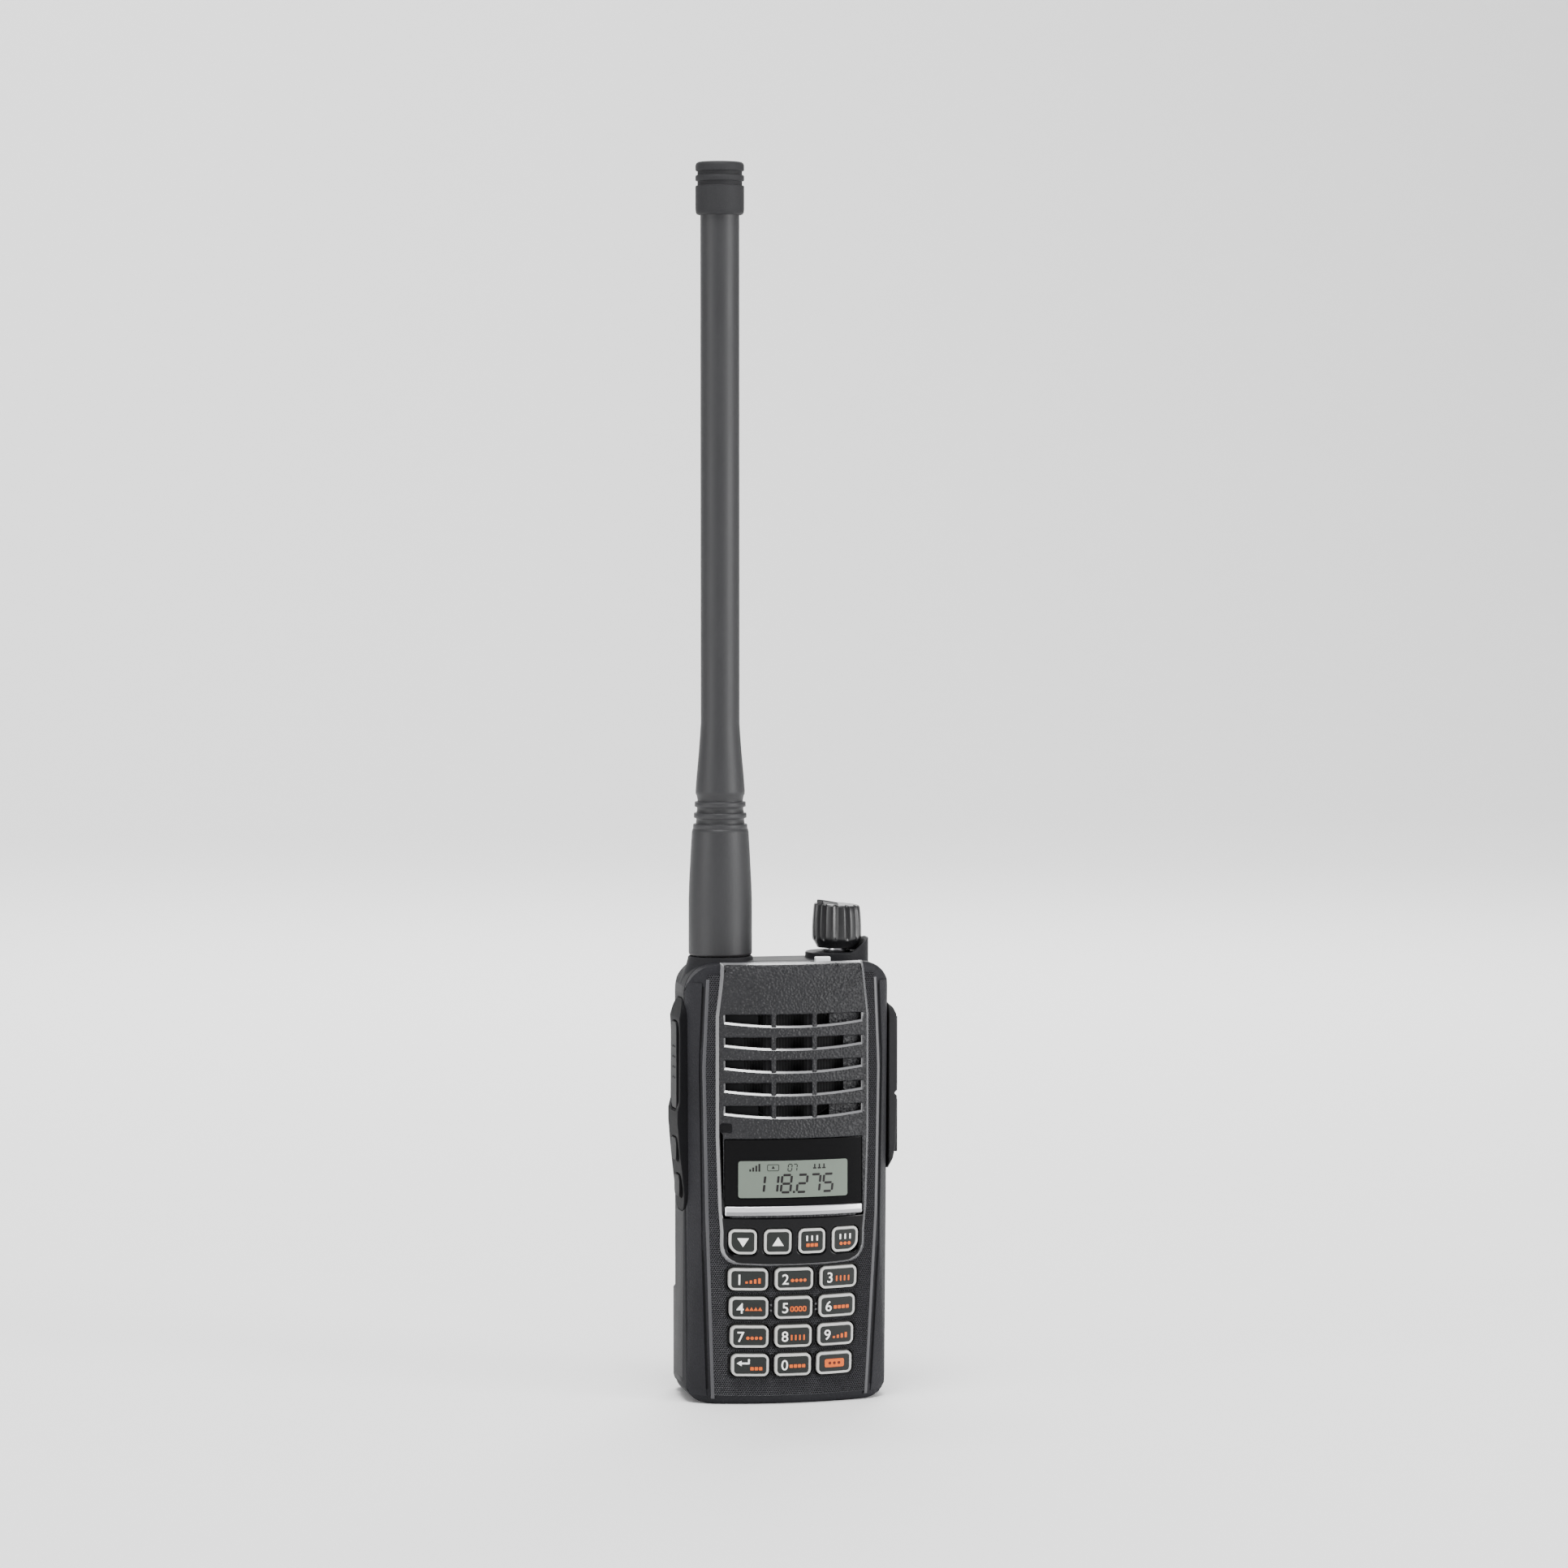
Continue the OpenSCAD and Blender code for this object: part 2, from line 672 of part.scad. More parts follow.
module antenna_whip() {
    foot_r = antenna_foot_d / 2;
    color([0.25, 0.25, 0.26]) translate([antenna_x, 0, antenna_z]) difference() {
        rotate_extrude($fn = 96) polygon(concat(
            [[0, 0], [foot_r - 0.4, 0], [foot_r, 0.5], [foot_r, 12], [foot_r - 0.15, 18],
             [7.1, ring_low], [6.5, ring_low + 0.3]],
            [for (k = [0 : rib_count - 1], p = RIB) [6.2 - 0.25 * k + p[0], ring_low + 0.5 + rib_pitch * k + p[1]]],
            [[6.1, ring_high], [6.0, ring_high + 0.6], [whip_d / 2, flare_top],
             [whip_d / 2, antenna_l - 2], [0, antenna_l - 2]]));
        translate([0, 0, -1]) cylinder(r = 7, h = sleeve_h + 1.05);
        translate([0, 0, 12]) cylinder(r = 2.1, h = 6.4);
        translate([0, 0, 12]) cylinder(r = 1.7, h = antenna_l - 18);
    }
}

module antenna_cap() {
    r = tip_cap_d / 2;
    groove = 0.55;
    cap_h = 13.2;
    color([0.2, 0.2, 0.21]) translate([antenna_x, 0, antenna_z + antenna_l - cap_h]) difference() {
        rotate_extrude($fn = 96) polygon([[0, 0], [r - 0.6, 0], [r, 1.5], [r, 6.8], [r - groove, 7.3],
            [r - groove, 8], [r, 8.5], [r, 9.4], [r - groove, 9.9], [r - groove, 10.6], [r, 11.1], [r, 12.6],
            [r - 0.6, cap_h], [0, cap_h]]);
        translate([0, 0, -1]) cylinder(r = whip_d / 2 + 0.02, h = cap_h - 0.9);
    }
}

module volume_control() {
    color([0.6, 0.6, 0.62]) translate([knob_x, 0, 0]) difference() {
        union() {
            box([-4.6, -4.6, 102], [4.6, 4.6, 107.6]);
            translate([0, 0, 107]) cylinder(r = 3.4, h = 6);
        }
        translate([0, 0, 104.5]) cylinder(r = shaft_r + knob_fit, h = 12);
    }
}

module knob_shaft() {
    color([0.7, 0.7, 0.72]) translate([knob_x, 0, 105]) difference() {
        cylinder(r = shaft_r, h = 15.5);
        box([-3, 1.2, 10.3], [3, 4, 16]);
    }
}

module volume_knob() {
    r = knob_d / 2;
    color([0.12, 0.12, 0.13]) translate([knob_x, 0, knob_z]) difference() {
        rotate_extrude($fn = 96) polygon([[0, 0], [r - 1.7, 0], [r - 0.5, 1.6], [r - 0.1, 2.6], [r, 4], [r - 0.35, 9.2],
            [r - 0.9, knob_h - 0.5], [r - 1.6, knob_h], [0, knob_h]]);
        for (k = [0 : flute_count - 1]) rotate([0, 0, (k + 0.5) * 360 / flute_count])
            translate([r + 0.45, 0, -1]) cylinder(r = 0.95, h = knob_h + 2, $fn = 24);
        translate([0, 0, -1]) difference() {
            cylinder(r = shaft_r + 0.02, h = 7.8);
            box([-3, 1.22, 2.6], [3, 4, 9]);
        }
        translate([0, 0, -1]) cylinder(r = 3.9, h = 1.4);
    }
}

module battery_springs() {
    color([0.85, 0.72, 0.35]) for (x = [-6, 0, 6])
        box([x - 1, main_board_y + board_t + 0.02, 20.3], [x + 1, back_y - 0.2, 25.7]);
}

module clip_inserts() {
    color([0.8, 0.65, 0.3]) for (x = [-clip_x, clip_x]) difference() {
        bar_y(2.2, x, clip_z, hump_back_y - insert_l, hump_back_y);
        bar_y(insert_r, x, clip_z, 0, far);
    }
}

module latch_pin() {
    color([0.7, 0.7, 0.7]) bar_x(latch_pin_r, latch_pin_y, latch_pin_z, -10.9, 10.9);
}

module battery_latch() {
    color([0.12, 0.12, 0.12]) difference() {
        union() {
            box([-latch_half_w, latch_pin_y, 0.6], [latch_half_w, latch_tip_y, 2.2]);
            bar_x(1.5, latch_pin_y, latch_pin_z, -latch_half_w, latch_half_w);
        }
        bar_x(latch_pin_r + knob_fit, latch_pin_y, latch_pin_z, -far, far);
    }
}

// Level section of the battery pack, drawn in by an inset.
module battery_section(inset) {
    w = 24.6 - inset;
    back = battery_back_y - inset;
    polygon([[-w, pack_y + inset], [w, pack_y + inset], [w, back - 5], [w - 0.6, back - 3], [w - 3, back],
             [-w + 3, back], [-w + 0.6, back - 3], [-w, back - 5]]);
}

module battery_form(inset) {
    intersection() {
        union() {
            translate([0, 0, pack_gap + inset]) linear_extrude(battery_h - 2 * inset) battery_section(inset);
            translate([0, 0, pack_gap + inset]) linear_extrude(26.5 - inset) battery_section(inset - 0.45);
        }
        upright(0, far) translate([0, (pack_gap + battery_h) / 2])
            rounded_rect(51 - 2 * inset, battery_h - pack_gap - 2 * inset, 6 - inset);
        upright(pack_y, far) square([2 * far, 2 * tall], center = true);
    }
}

module pad_openings(grow) {
    for (x = [-6, 0, 6]) box([x - 1.5 - grow, pack_y - 1, 19.5 - grow], [x + 1.5 + grow, pack_y + 2, 26.5 + grow]);
}

module battery_case() {
    color([0.14, 0.14, 0.15]) difference() {
        battery_form(0);
        intersection() {
            battery_form(1.5);
            box([-far, 0, 6], [far, far, tall]);
        }
        box([-22, pack_y - 1, 7], [22, pack_y + 2, 83]);
        box([-latch_half_w - 0.6, 0, -1], [latch_half_w + 0.6, latch_tip_y + 1, 4]);
        for (x = [-10, 10]) box([x - 2.1, battery_back_y - 3, 8.9], [x + 2.1, far, 14.1]);
    }
}

module battery_cover() {
    color([0.12, 0.12, 0.12]) difference() {
        box([-21.9, pack_y, 7.1], [21.9, pack_y + 1.2, 82.9]);
        pad_openings(0.1);
    }
}

module battery_pads() {
    color([0.85, 0.72, 0.35]) for (x = [-6, 0, 6]) box([x - 1.5, pack_y + 0.1, 19.5], [x + 1.5, pack_y + 1, 26.5]);
}

module battery_cells() {
    color([0.3, 0.5, 0.7]) for (side = [-1, 1]) translate([side * 10.6, 0, 0])
        box([-10.2, pack_y + 1.6, 16], [10.2, battery_back_y - 2.6, 80]);
}

module charge_pads() {
    color([0.85, 0.72, 0.35]) for (x = [-10, 10]) box([x - 2, battery_back_y - 1.5, 9], [x + 2, battery_back_y - 0.1, 14]);
}

// One key: a rounded cap with the flange that keeps it in the case.
module key_body(x, z, w, h) {
    on_keypad() translate([x, 0, z]) {
        upright(crown(x) - key_proud, flange_y + e) rounded_rect(w, h, key_r);
        upright(flange_y, flange_y + flange_t) rounded_rect(w + 2 * flange_lip, h + 2 * flange_lip, key_r);
    }
}

module function_key(i) {
    color([0.2, 0.2, 0.21]) key_body(function_key_x(i), function_row_z, function_key_w, function_key_h);
}

module number_key(i) {
    color([0.3, 0.3, 0.3]) key_body(key_x(i), key_z(i), key_width(i), key_h);
}

front_case();
front_panel();
function_bezel();
display_window();
accent_bar();
lcd_glass();
lcd_backlight();
keypad_mat();
front_board();
microphone();
speaker();
speaker_cloth();
status_lens();
case_seal();
rear_chassis();
case_screws();
main_board();
shield_cans();
side_panel();
side_switches();
antenna_jack();
volume_control();
audio_jacks();
battery_springs();
clip_inserts();
latch_pin();
battery_case();
battery_cover();
battery_cells();
battery_pads();
charge_pads();
ptt_button();
upper_side_button();
lower_side_button();
knob_shaft();
volume_knob();
antenna_contact();
antenna_sleeve();
antenna_element();
antenna_whip();
antenna_cap();
jack_cover();
battery_latch();
for (i = [0 : 3]) function_key(i);
for (i = [0 : 11]) number_key(i);
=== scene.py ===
"""Looks of a handheld airband radio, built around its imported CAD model.

Shapes are drawn in millimetres, mostly flat, then bent on to the crowned face of the case.
"""
import logging
import math
from dataclasses import dataclass, field
from enum import Enum
from typing import Callable, Optional, Sequence

import bmesh
import bpy
from mathutils import Matrix, Vector
from mathutils.bvhtree import BVHTree


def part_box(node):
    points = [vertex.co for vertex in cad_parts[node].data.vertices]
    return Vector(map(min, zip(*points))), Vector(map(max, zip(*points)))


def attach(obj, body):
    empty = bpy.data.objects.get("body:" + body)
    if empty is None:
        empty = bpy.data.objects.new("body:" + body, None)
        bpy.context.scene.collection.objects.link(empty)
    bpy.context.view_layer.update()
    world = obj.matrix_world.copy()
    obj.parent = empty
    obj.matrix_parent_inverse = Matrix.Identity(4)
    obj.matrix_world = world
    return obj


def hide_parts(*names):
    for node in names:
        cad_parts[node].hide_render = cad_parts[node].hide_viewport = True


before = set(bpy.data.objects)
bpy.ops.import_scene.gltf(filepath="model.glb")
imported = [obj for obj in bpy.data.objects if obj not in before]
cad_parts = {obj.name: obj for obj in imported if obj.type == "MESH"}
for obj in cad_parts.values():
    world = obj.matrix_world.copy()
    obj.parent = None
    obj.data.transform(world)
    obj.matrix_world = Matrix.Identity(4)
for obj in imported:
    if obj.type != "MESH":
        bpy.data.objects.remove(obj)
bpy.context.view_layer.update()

LOG = logging.getLogger("airband_radio")
MM = 0.001

Colour = tuple[float, float, float]
Bend = Callable[[Vector], Vector]


# ---------------------------------------------------------------- finishes

class Texture(Enum):
    """The surface texture that a finish carries; gloss and metal finishes take a fine SATIN."""

    SATIN = "satin"
    LEATHER = "leather"
    SPARK = "spark"
    CAST = "cast"
    WEAVE = "weave"
    TRACES = "traces"


class NodeGroups:
    """Shader node groups that several finishes share, each built once."""

    made: dict[str, bpy.types.NodeTree] = {}

    @classmethod
    def _new(cls, name: str, inputs: dict[str, float], outputs: Sequence[str]) -> bpy.types.NodeTree:
        """Starts a group with a Vector input, float inputs and float outputs."""
        tree = bpy.data.node_groups.new(name, "ShaderNodeTree")
        tree.interface.new_socket("Vector", in_out="INPUT", socket_type="NodeSocketVector")
        for label, value in inputs.items():
            made = tree.interface.new_socket(label, in_out="INPUT", socket_type="NodeSocketFloat")
            made.default_value = value
        for label in outputs:
            tree.interface.new_socket(label, in_out="OUTPUT", socket_type="NodeSocketFloat")
        cls.made[name] = tree
        return tree

    @classmethod
    def grain(cls) -> bpy.types.NodeTree:
        """Moulded grain: rounded cells over fine noise, as a height and a tone."""
        if "moulded grain" in cls.made:
            return cls.made["moulded grain"]
        tree = cls._new("moulded grain", {"Scale": 1500.0, "Cells": 0.6}, ("Height", "Tone"))
        n, link = tree.nodes, tree.links.new
        start, end = n.new("NodeGroupInput"), n.new("NodeGroupOutput")
        cells = n.new("ShaderNodeTexVoronoi")
        cells.feature = "SMOOTH_F1"
        cells.inputs["Smoothness"].default_value = 0.6
        noise = n.new("ShaderNodeTexNoise")
        noise.inputs["Detail"].default_value = 3.0
        broad = n.new("ShaderNodeTexNoise")
        broad.inputs["Scale"].default_value = 60.0
        broad.inputs["Detail"].default_value = 4.0
        blend = n.new("ShaderNodeMix")
        for node in (cells, noise, broad):
            link(start.outputs["Vector"], node.inputs["Vector"])
        link(start.outputs["Scale"], cells.inputs["Scale"])
        link(start.outputs["Scale"], noise.inputs["Scale"])
        link(start.outputs["Cells"], blend.inputs["Factor"])
        link(noise.outputs["Fac"], blend.inputs["A"])
        link(cells.outputs["Distance"], blend.inputs["B"])
        link(blend.outputs["Result"], end.inputs["Height"])
        mix = n.new("ShaderNodeMath")
        mix.operation = "MULTIPLY_ADD"
        mix.inputs[1].default_value = 0.45
        link(blend.outputs["Result"], mix.inputs[0])
        link(broad.outputs["Fac"], mix.inputs[2])
        link(mix.outputs[0], end.inputs["Tone"])
        return tree

    @classmethod
    def wear(cls) -> bpy.types.NodeTree:
        """Edge wear: a mask that is high on worn convex edges."""
        if "edge wear" in cls.made:
            return cls.made["edge wear"]
        tree = cls._new("edge wear", {"Scale": 900.0}, ("Mask",))
        n, link = tree.nodes, tree.links.new
        start, end = n.new("NodeGroupInput"), n.new("NodeGroupOutput")
        geometry, ramp = n.new("ShaderNodeNewGeometry"), n.new("ShaderNodeMapRange")
        ramp.inputs["From Min"].default_value = 0.52
        ramp.inputs["From Max"].default_value = 0.62
        noise, keep = n.new("ShaderNodeTexNoise"), n.new("ShaderNodeMath")
        noise.inputs["Detail"].default_value = 4.0
        keep.operation = "MULTIPLY"
        link(geometry.outputs["Pointiness"], ramp.inputs["Value"])
        link(start.outputs["Vector"], noise.inputs["Vector"])
        link(start.outputs["Scale"], noise.inputs["Scale"])
        link(ramp.outputs["Result"], keep.inputs[0])
        link(noise.outputs["Fac"], keep.inputs[1])
        link(keep.outputs[0], end.inputs["Mask"])
        return tree


CELL_SHARE = {Texture.LEATHER: 0.75, Texture.SPARK: 0.5, Texture.CAST: 0.4}
PLAIN_CELL_SHARE = 0.15
COAT_ROUGHNESS = 0.12


@dataclass(frozen=True)
class Finish:
    """One procedural finish.

    Args:
        label: the material's name, in plain words.
        colour: base colour, linear.
        roughness: mean roughness.
        texture: which surface texture it carries.
        scale: texture cells to the metre.
        depth: how deep the texture is, in metres.
        shift: how far the tone varies, as a share of the colour.
        worn: colour that shows on worn edges, as a factor on the base colour.
        gloss_shift: how far the roughness varies.
        metallic: 0 or 1.
        coat: clear coat weight.
        sheen: specular level, 0.5 for a clean hard plastic.
        stretch: scale of the texture along X, Y and Z.
    """

    label: str
    colour: Colour
    roughness: float
    texture: Texture = Texture.SATIN
    scale: float = 1800.0
    depth: float = 0.00002
    shift: float = 0.25
    worn: float = 1.6
    gloss_shift: float = 0.08
    metallic: float = 0.0
    coat: float = 0.0
    sheen: float = 0.2
    stretch: tuple[float, float, float] = (1.0, 1.0, 1.0)

    def material(self) -> bpy.types.Material:
        """Builds the material, or returns it if it is already made."""
        found = bpy.data.materials.get(self.label)
        if found:
            return found
        material = bpy.data.materials.new(self.label)
        material.use_nodes = True
        tree = material.node_tree
        n, link = tree.nodes, tree.links.new
        shader = n["Principled BSDF"]
        shader.inputs["Metallic"].default_value = self.metallic
        shader.inputs["Specular IOR Level"].default_value = self.sheen
        shader.inputs["Coat Weight"].default_value = self.coat
        shader.inputs["Coat Roughness"].default_value = COAT_ROUGHNESS

        coords, mapping = n.new("ShaderNodeTexCoord"), n.new("ShaderNodeMapping")
        mapping.inputs["Scale"].default_value = self.stretch
        link(coords.outputs["Object"], mapping.inputs["Vector"])
        height, tone = self._texture(tree, mapping.outputs["Vector"])

        wear = n.new("ShaderNodeGroup")
        wear.node_tree = NodeGroups.wear()
        link(coords.outputs["Object"], wear.inputs["Vector"])

        ramp = n.new("ShaderNodeMix")
        ramp.data_type = "RGBA"
        dark = tuple(c * (1 - self.shift) for c in self.colour)
        light = tuple(min(1.0, c * (1 + self.shift)) for c in self.colour)
        ramp.inputs["A"].default_value = (*dark, 1)
        ramp.inputs["B"].default_value = (*light, 1)
        link(tone, ramp.inputs["Factor"])
        edge = n.new("ShaderNodeMix")
        edge.data_type = "RGBA"
        edge.inputs["B"].default_value = (*(min(1.0, c * self.worn) for c in self.colour), 1)
        link(wear.outputs["Mask"], edge.inputs["Factor"])
        link(ramp.outputs["Result"], edge.inputs["A"])
        link(edge.outputs["Result"], shader.inputs["Base Color"])

        gloss = n.new("ShaderNodeMapRange")
        gloss.inputs["To Min"].default_value = max(0.02, self.roughness - self.gloss_shift)
        gloss.inputs["To Max"].default_value = min(1.0, self.roughness + self.gloss_shift)
        link(tone, gloss.inputs["Value"])
        link(gloss.outputs["Result"], shader.inputs["Roughness"])

        bump = n.new("ShaderNodeBump")
        bump.inputs["Distance"].default_value = self.depth
        link(height, bump.inputs["Height"])
        link(bump.outputs["Normal"], shader.inputs["Normal"])
        return material

    def _texture(self, tree: bpy.types.NodeTree, vector: bpy.types.NodeSocket) \
            -> tuple[bpy.types.NodeSocket, bpy.types.NodeSocket]:
        """Adds the texture's nodes.

        Args:
            tree: the material's node tree.
            vector: the coordinates to read.

        Returns:
            The height and the tone, both from 0 to 1.
        """
        n, link = tree.nodes, tree.links.new
        grain = n.new("ShaderNodeGroup")
        grain.node_tree = NodeGroups.grain()
        grain.inputs["Scale"].default_value = self.scale
        grain.inputs["Cells"].default_value = CELL_SHARE.get(self.texture, PLAIN_CELL_SHARE)
        link(vector, grain.inputs["Vector"])
        if self.texture in (Texture.WEAVE, Texture.TRACES):
            checks = n.new("ShaderNodeTexBrick" if self.texture is Texture.TRACES else "ShaderNodeTexWave")
            checks.inputs["Scale"].default_value = self.scale
            link(vector, checks.inputs["Vector"])
            joined = n.new("ShaderNodeMath")
            joined.operation = "MULTIPLY"
            link(checks.outputs["Fac"], joined.inputs[0])
            link(grain.outputs["Tone"], joined.inputs[1])
            return joined.outputs[0], joined.outputs[0]
        return grain.outputs["Height"], grain.outputs["Tone"]


# Plastics, rubbers and metals of the pieces
CASE = Finish("grained charcoal plastic", (0.0120, 0.0120, 0.0138), 0.50, Texture.SPARK, 2300, 0.00016,
              0.6, sheen=0.1)
FRAME = Finish("dotted frame plastic", (0.036, 0.036, 0.040), 0.34, Texture.SATIN, 3000, 0.00001, 0.2,
               sheen=0.5)
# The dents' floors are painted near black as shade in the recesses.
DENT_SHADE = Finish("dents painted dark as shade", (0.0045, 0.0045, 0.0052), 0.6, Texture.SATIN, 3000, 0.000005, 0.2, sheen=0.1)
# Near black painted shade for the groove floors, the left slot pockets, the microphone notch floor and the
# pinholes.
GROOVE_SHADE = Finish("shadow plastic", (0.0030, 0.0030, 0.0035), 0.6, Texture.SATIN, 2500, 0.00001, 0.2,
                sheen=0.1)
PANEL = Finish("leather grained panel", (0.0062, 0.0062, 0.0074), 0.42, Texture.LEATHER, 1650, 0.00045,
               0.8, sheen=0.3)
# Pale coated colour painted on the panel rim and the slot lips as a highlight on dark plastic edges.
RIM_HIGHLIGHT = Finish("panel rim painted highlight", (0.105, 0.105, 0.110), 0.20, Texture.SATIN, 2500, 0.000003, 0.12,
             worn=1.4, coat=0.8, sheen=0.9)
WELL = Finish("gloss black well", (0.0025, 0.0025, 0.003), 0.16, Texture.SATIN, 900, 0.000002, 0.2,
              worn=1.3, gloss_shift=0.04, sheen=0.16)
WINDOW = Finish("gloss black window", (0.0016, 0.0016, 0.0019), 0.10, Texture.SATIN, 700, 0.000001, 0.2,
                worn=1.2, gloss_shift=0.03, sheen=0.08)
SILVER = Finish("brushed silver bar", (0.72, 0.72, 0.74), 0.30, Texture.SATIN, 2600, 0.00003, 0.12,
                worn=1.2, gloss_shift=0.1, metallic=1.0, stretch=(0.03, 1.0, 1.0))
DULL_SILVER = Finish("blasted silver strip", (0.26, 0.26, 0.27), 0.5, Texture.CAST, 2400, 0.00006, 0.3,
                     worn=1.2, gloss_shift=0.1, metallic=1.0)
LCD = Finish("reflective display", (0.122, 0.146, 0.122), 0.35, Texture.SATIN, 4000, 0.000002, 0.06,
             worn=1.0, gloss_shift=0.04)
INK_LCD = Finish("display segment", (0.010, 0.008, 0.009), 0.4, Texture.SATIN, 3000, 0.000001, 0.1,
                 worn=1.0)
RING = Finish("pale key ring", (0.42, 0.42, 0.405), 0.34, Texture.SATIN, 1600, 0.000006, 0.08, worn=1.1,
              coat=0.25, sheen=0.5)
KEY_FACE = Finish("dark key face", (0.0125, 0.0140, 0.0132), 0.42, Texture.SATIN, 3600, 0.000012, 0.15,
                  worn=1.4)
INK_WHITE = Finish("white key print", (0.88, 0.88, 0.86), 0.45, Texture.SATIN, 3000, 0.000003, 0.05,
                   worn=1.0)
INK_ORANGE = Finish("orange key print", (0.60, 0.105, 0.012), 0.45, Texture.SATIN, 3000, 0.000003, 0.08,
                    worn=1.0)
INK_DARK = Finish("dark key print", (0.08, 0.014, 0.008), 0.45, Texture.SATIN, 3000, 0.000003, 0.08,
                  worn=1.0)
ANTENNA = Finish("satin antenna plastic", (0.0185, 0.0185, 0.0200), 0.48, Texture.SATIN, 5200, 0.000022,
                 0.12, worn=1.3, sheen=0.35)
TIP = Finish("rough antenna tip", (0.0150, 0.0150, 0.0162), 0.62, Texture.CAST, 3200, 0.00006, 0.35,
             worn=1.4)
KNOB = Finish("gloss knob plastic", (0.0060, 0.0060, 0.0068), 0.34, Texture.SATIN, 2200, 0.000012, 0.25,
              worn=1.6, sheen=0.45)
CHASSIS = Finish("cast chassis", (0.0125, 0.0125, 0.0138), 0.52, Texture.CAST, 2300, 0.00008, 0.35,
                 sheen=0.08)
SIDE = Finish("side rubber", (0.0060, 0.0060, 0.0068), 0.55, Texture.SPARK, 2600, 0.00005, 0.3,
              sheen=0.04)
BUTTON = Finish("button rubber", (0.0042, 0.0042, 0.0048), 0.45, Texture.SATIN, 2600, 0.00002, 0.2,
                sheen=0.06)
COVER = Finish("soft cover rubber", (0.0100, 0.0100, 0.0110), 0.55, Texture.SATIN, 2200, 0.00003, 0.2)
BATTERY = Finish("battery plastic", (0.0120, 0.0120, 0.0132), 0.52, Texture.SPARK, 2200, 0.00007, 0.35)
LENS = Finish("white light pipe", (0.86, 0.87, 0.88), 0.22, Texture.SATIN, 900, 0.000002, 0.04, worn=1.0,
              coat=0.5, sheen=0.5)
STEEL = Finish("screw steel", (0.58, 0.58, 0.60), 0.32, Texture.SATIN, 3000, 0.00001, 0.15, worn=1.2,
               metallic=1.0)
BRASS = Finish("contact brass", (0.80, 0.60, 0.26), 0.28, Texture.SATIN, 2600, 0.00001, 0.15, worn=1.2,
               metallic=1.0)

# Finish of every CAD node that still shows, or that shows at a pose
NODE_FINISHES: dict[str, Finish] = {
    "lcd_backlight": Finish("light guide", (0.80, 0.82, 0.78), 0.3, Texture.SATIN, 800, 0.000003, 0.05,
                            coat=0.3),
    "keypad_mat": Finish("silicone mat", (0.10, 0.10, 0.11), 0.6, Texture.SATIN, 1800, 0.00002, 0.2),
    "front_board": Finish("green board", (0.02, 0.13, 0.06), 0.35, Texture.TRACES, 260, 0.00003, 0.5),
    "main_board": Finish("main board green", (0.018, 0.12, 0.055), 0.35, Texture.TRACES, 300, 0.00003,
                         0.5),
    "microphone": Finish("microphone can", (0.62, 0.62, 0.64), 0.3, Texture.SATIN, 2400, 0.00001, 0.2,
                         metallic=1.0),
    "speaker": Finish("speaker frame", (0.05, 0.05, 0.05), 0.4, Texture.CAST, 1800, 0.00003, 0.3),
    "speaker_cloth": Finish("speaker cloth", (0.016, 0.016, 0.017), 0.9, Texture.WEAVE, 420, 0.00008,
                            0.6),
    "case_seal": Finish("seal rubber", (0.018, 0.018, 0.018), 0.7, Texture.SATIN, 1800, 0.00002, 0.3),
    "case_screws": STEEL,
    "latch_pin": STEEL,
    "knob_shaft": STEEL,
    "shield_cans": Finish("tinned shield", (0.66, 0.66, 0.67), 0.36, Texture.SATIN, 1600, 0.00002, 0.2,
                          metallic=1.0),
    "side_switches": Finish("switch strip", (0.30, 0.30, 0.30), 0.45, Texture.SATIN, 2000, 0.00001, 0.2),
    "antenna_jack": Finish("plated jack", (0.70, 0.67, 0.60), 0.26, Texture.SATIN, 2400, 0.00001, 0.15,
                           metallic=1.0),
    "antenna_sleeve": Finish("plated sleeve", (0.68, 0.65, 0.58), 0.28, Texture.SATIN, 2400, 0.00001,
                             0.15, metallic=1.0),
    "volume_control": Finish("blackened bushing", (0.02, 0.02, 0.022), 0.4, Texture.SATIN, 2200, 0.00001,
                             0.2),
    "audio_jacks": Finish("jack block", (0.022, 0.022, 0.023), 0.42, Texture.SATIN, 1800, 0.00001, 0.25),
    "battery_springs": BRASS,
    "battery_pads": BRASS,
    "charge_pads": BRASS,
    "antenna_contact": BRASS,
    "clip_inserts": BRASS,
    "antenna_element": Finish("bare copper", (0.78, 0.36, 0.20), 0.32, Texture.SATIN, 2600, 0.00002, 0.2,
                              metallic=1.0),
    "battery_cells": Finish("cell wrap", (0.10, 0.20, 0.40), 0.4, Texture.SATIN, 1200, 0.00001, 0.2),
    "battery_cover": Finish("pack inner cover", (0.030, 0.030, 0.032), 0.5, Texture.SPARK, 1800, 0.00004,
                            0.3),
}


# ---------------------------------------------------------------- shaping

def node_box(node: str) -> tuple[Vector, Vector]:
    """A CAD node's lowest and highest corner, in millimetres."""
    low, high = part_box(node)
    return low / MM, high / MM


CROWN_R = 68.0
PANEL_PROUD = 1.2
KNEE_Z = 48.0
LEAN = math.radians(4.0)
FACE_Y = node_box("front_panel")[0].y + PANEL_PROUD
PANEL_TOP = node_box("front_panel")[1].z
ROLL_Z = 105.5
PANEL_LIFT = 1.3
ROLL_BACK = 0.75


def on_face(point: Vector) -> Vector:
    """Bends a flat point on to the crowned face, which leans back below the knee.

    Args:
        point: X, height up the face and how far it stands proud.

    Returns:
        The point in the radio's frame, in millimetres.
    """
    x, z, proud = point
    deep = CROWN_R - math.sqrt((CROWN_R + proud) ** 2 - x * x)
    if z >= KNEE_Z:
        return Vector((x, FACE_Y + deep, z))
    down = z - KNEE_Z
    return Vector((x, FACE_Y + deep * math.cos(LEAN) - down * math.sin(LEAN),
                   KNEE_Z + deep * math.sin(LEAN) + down * math.cos(LEAN)))


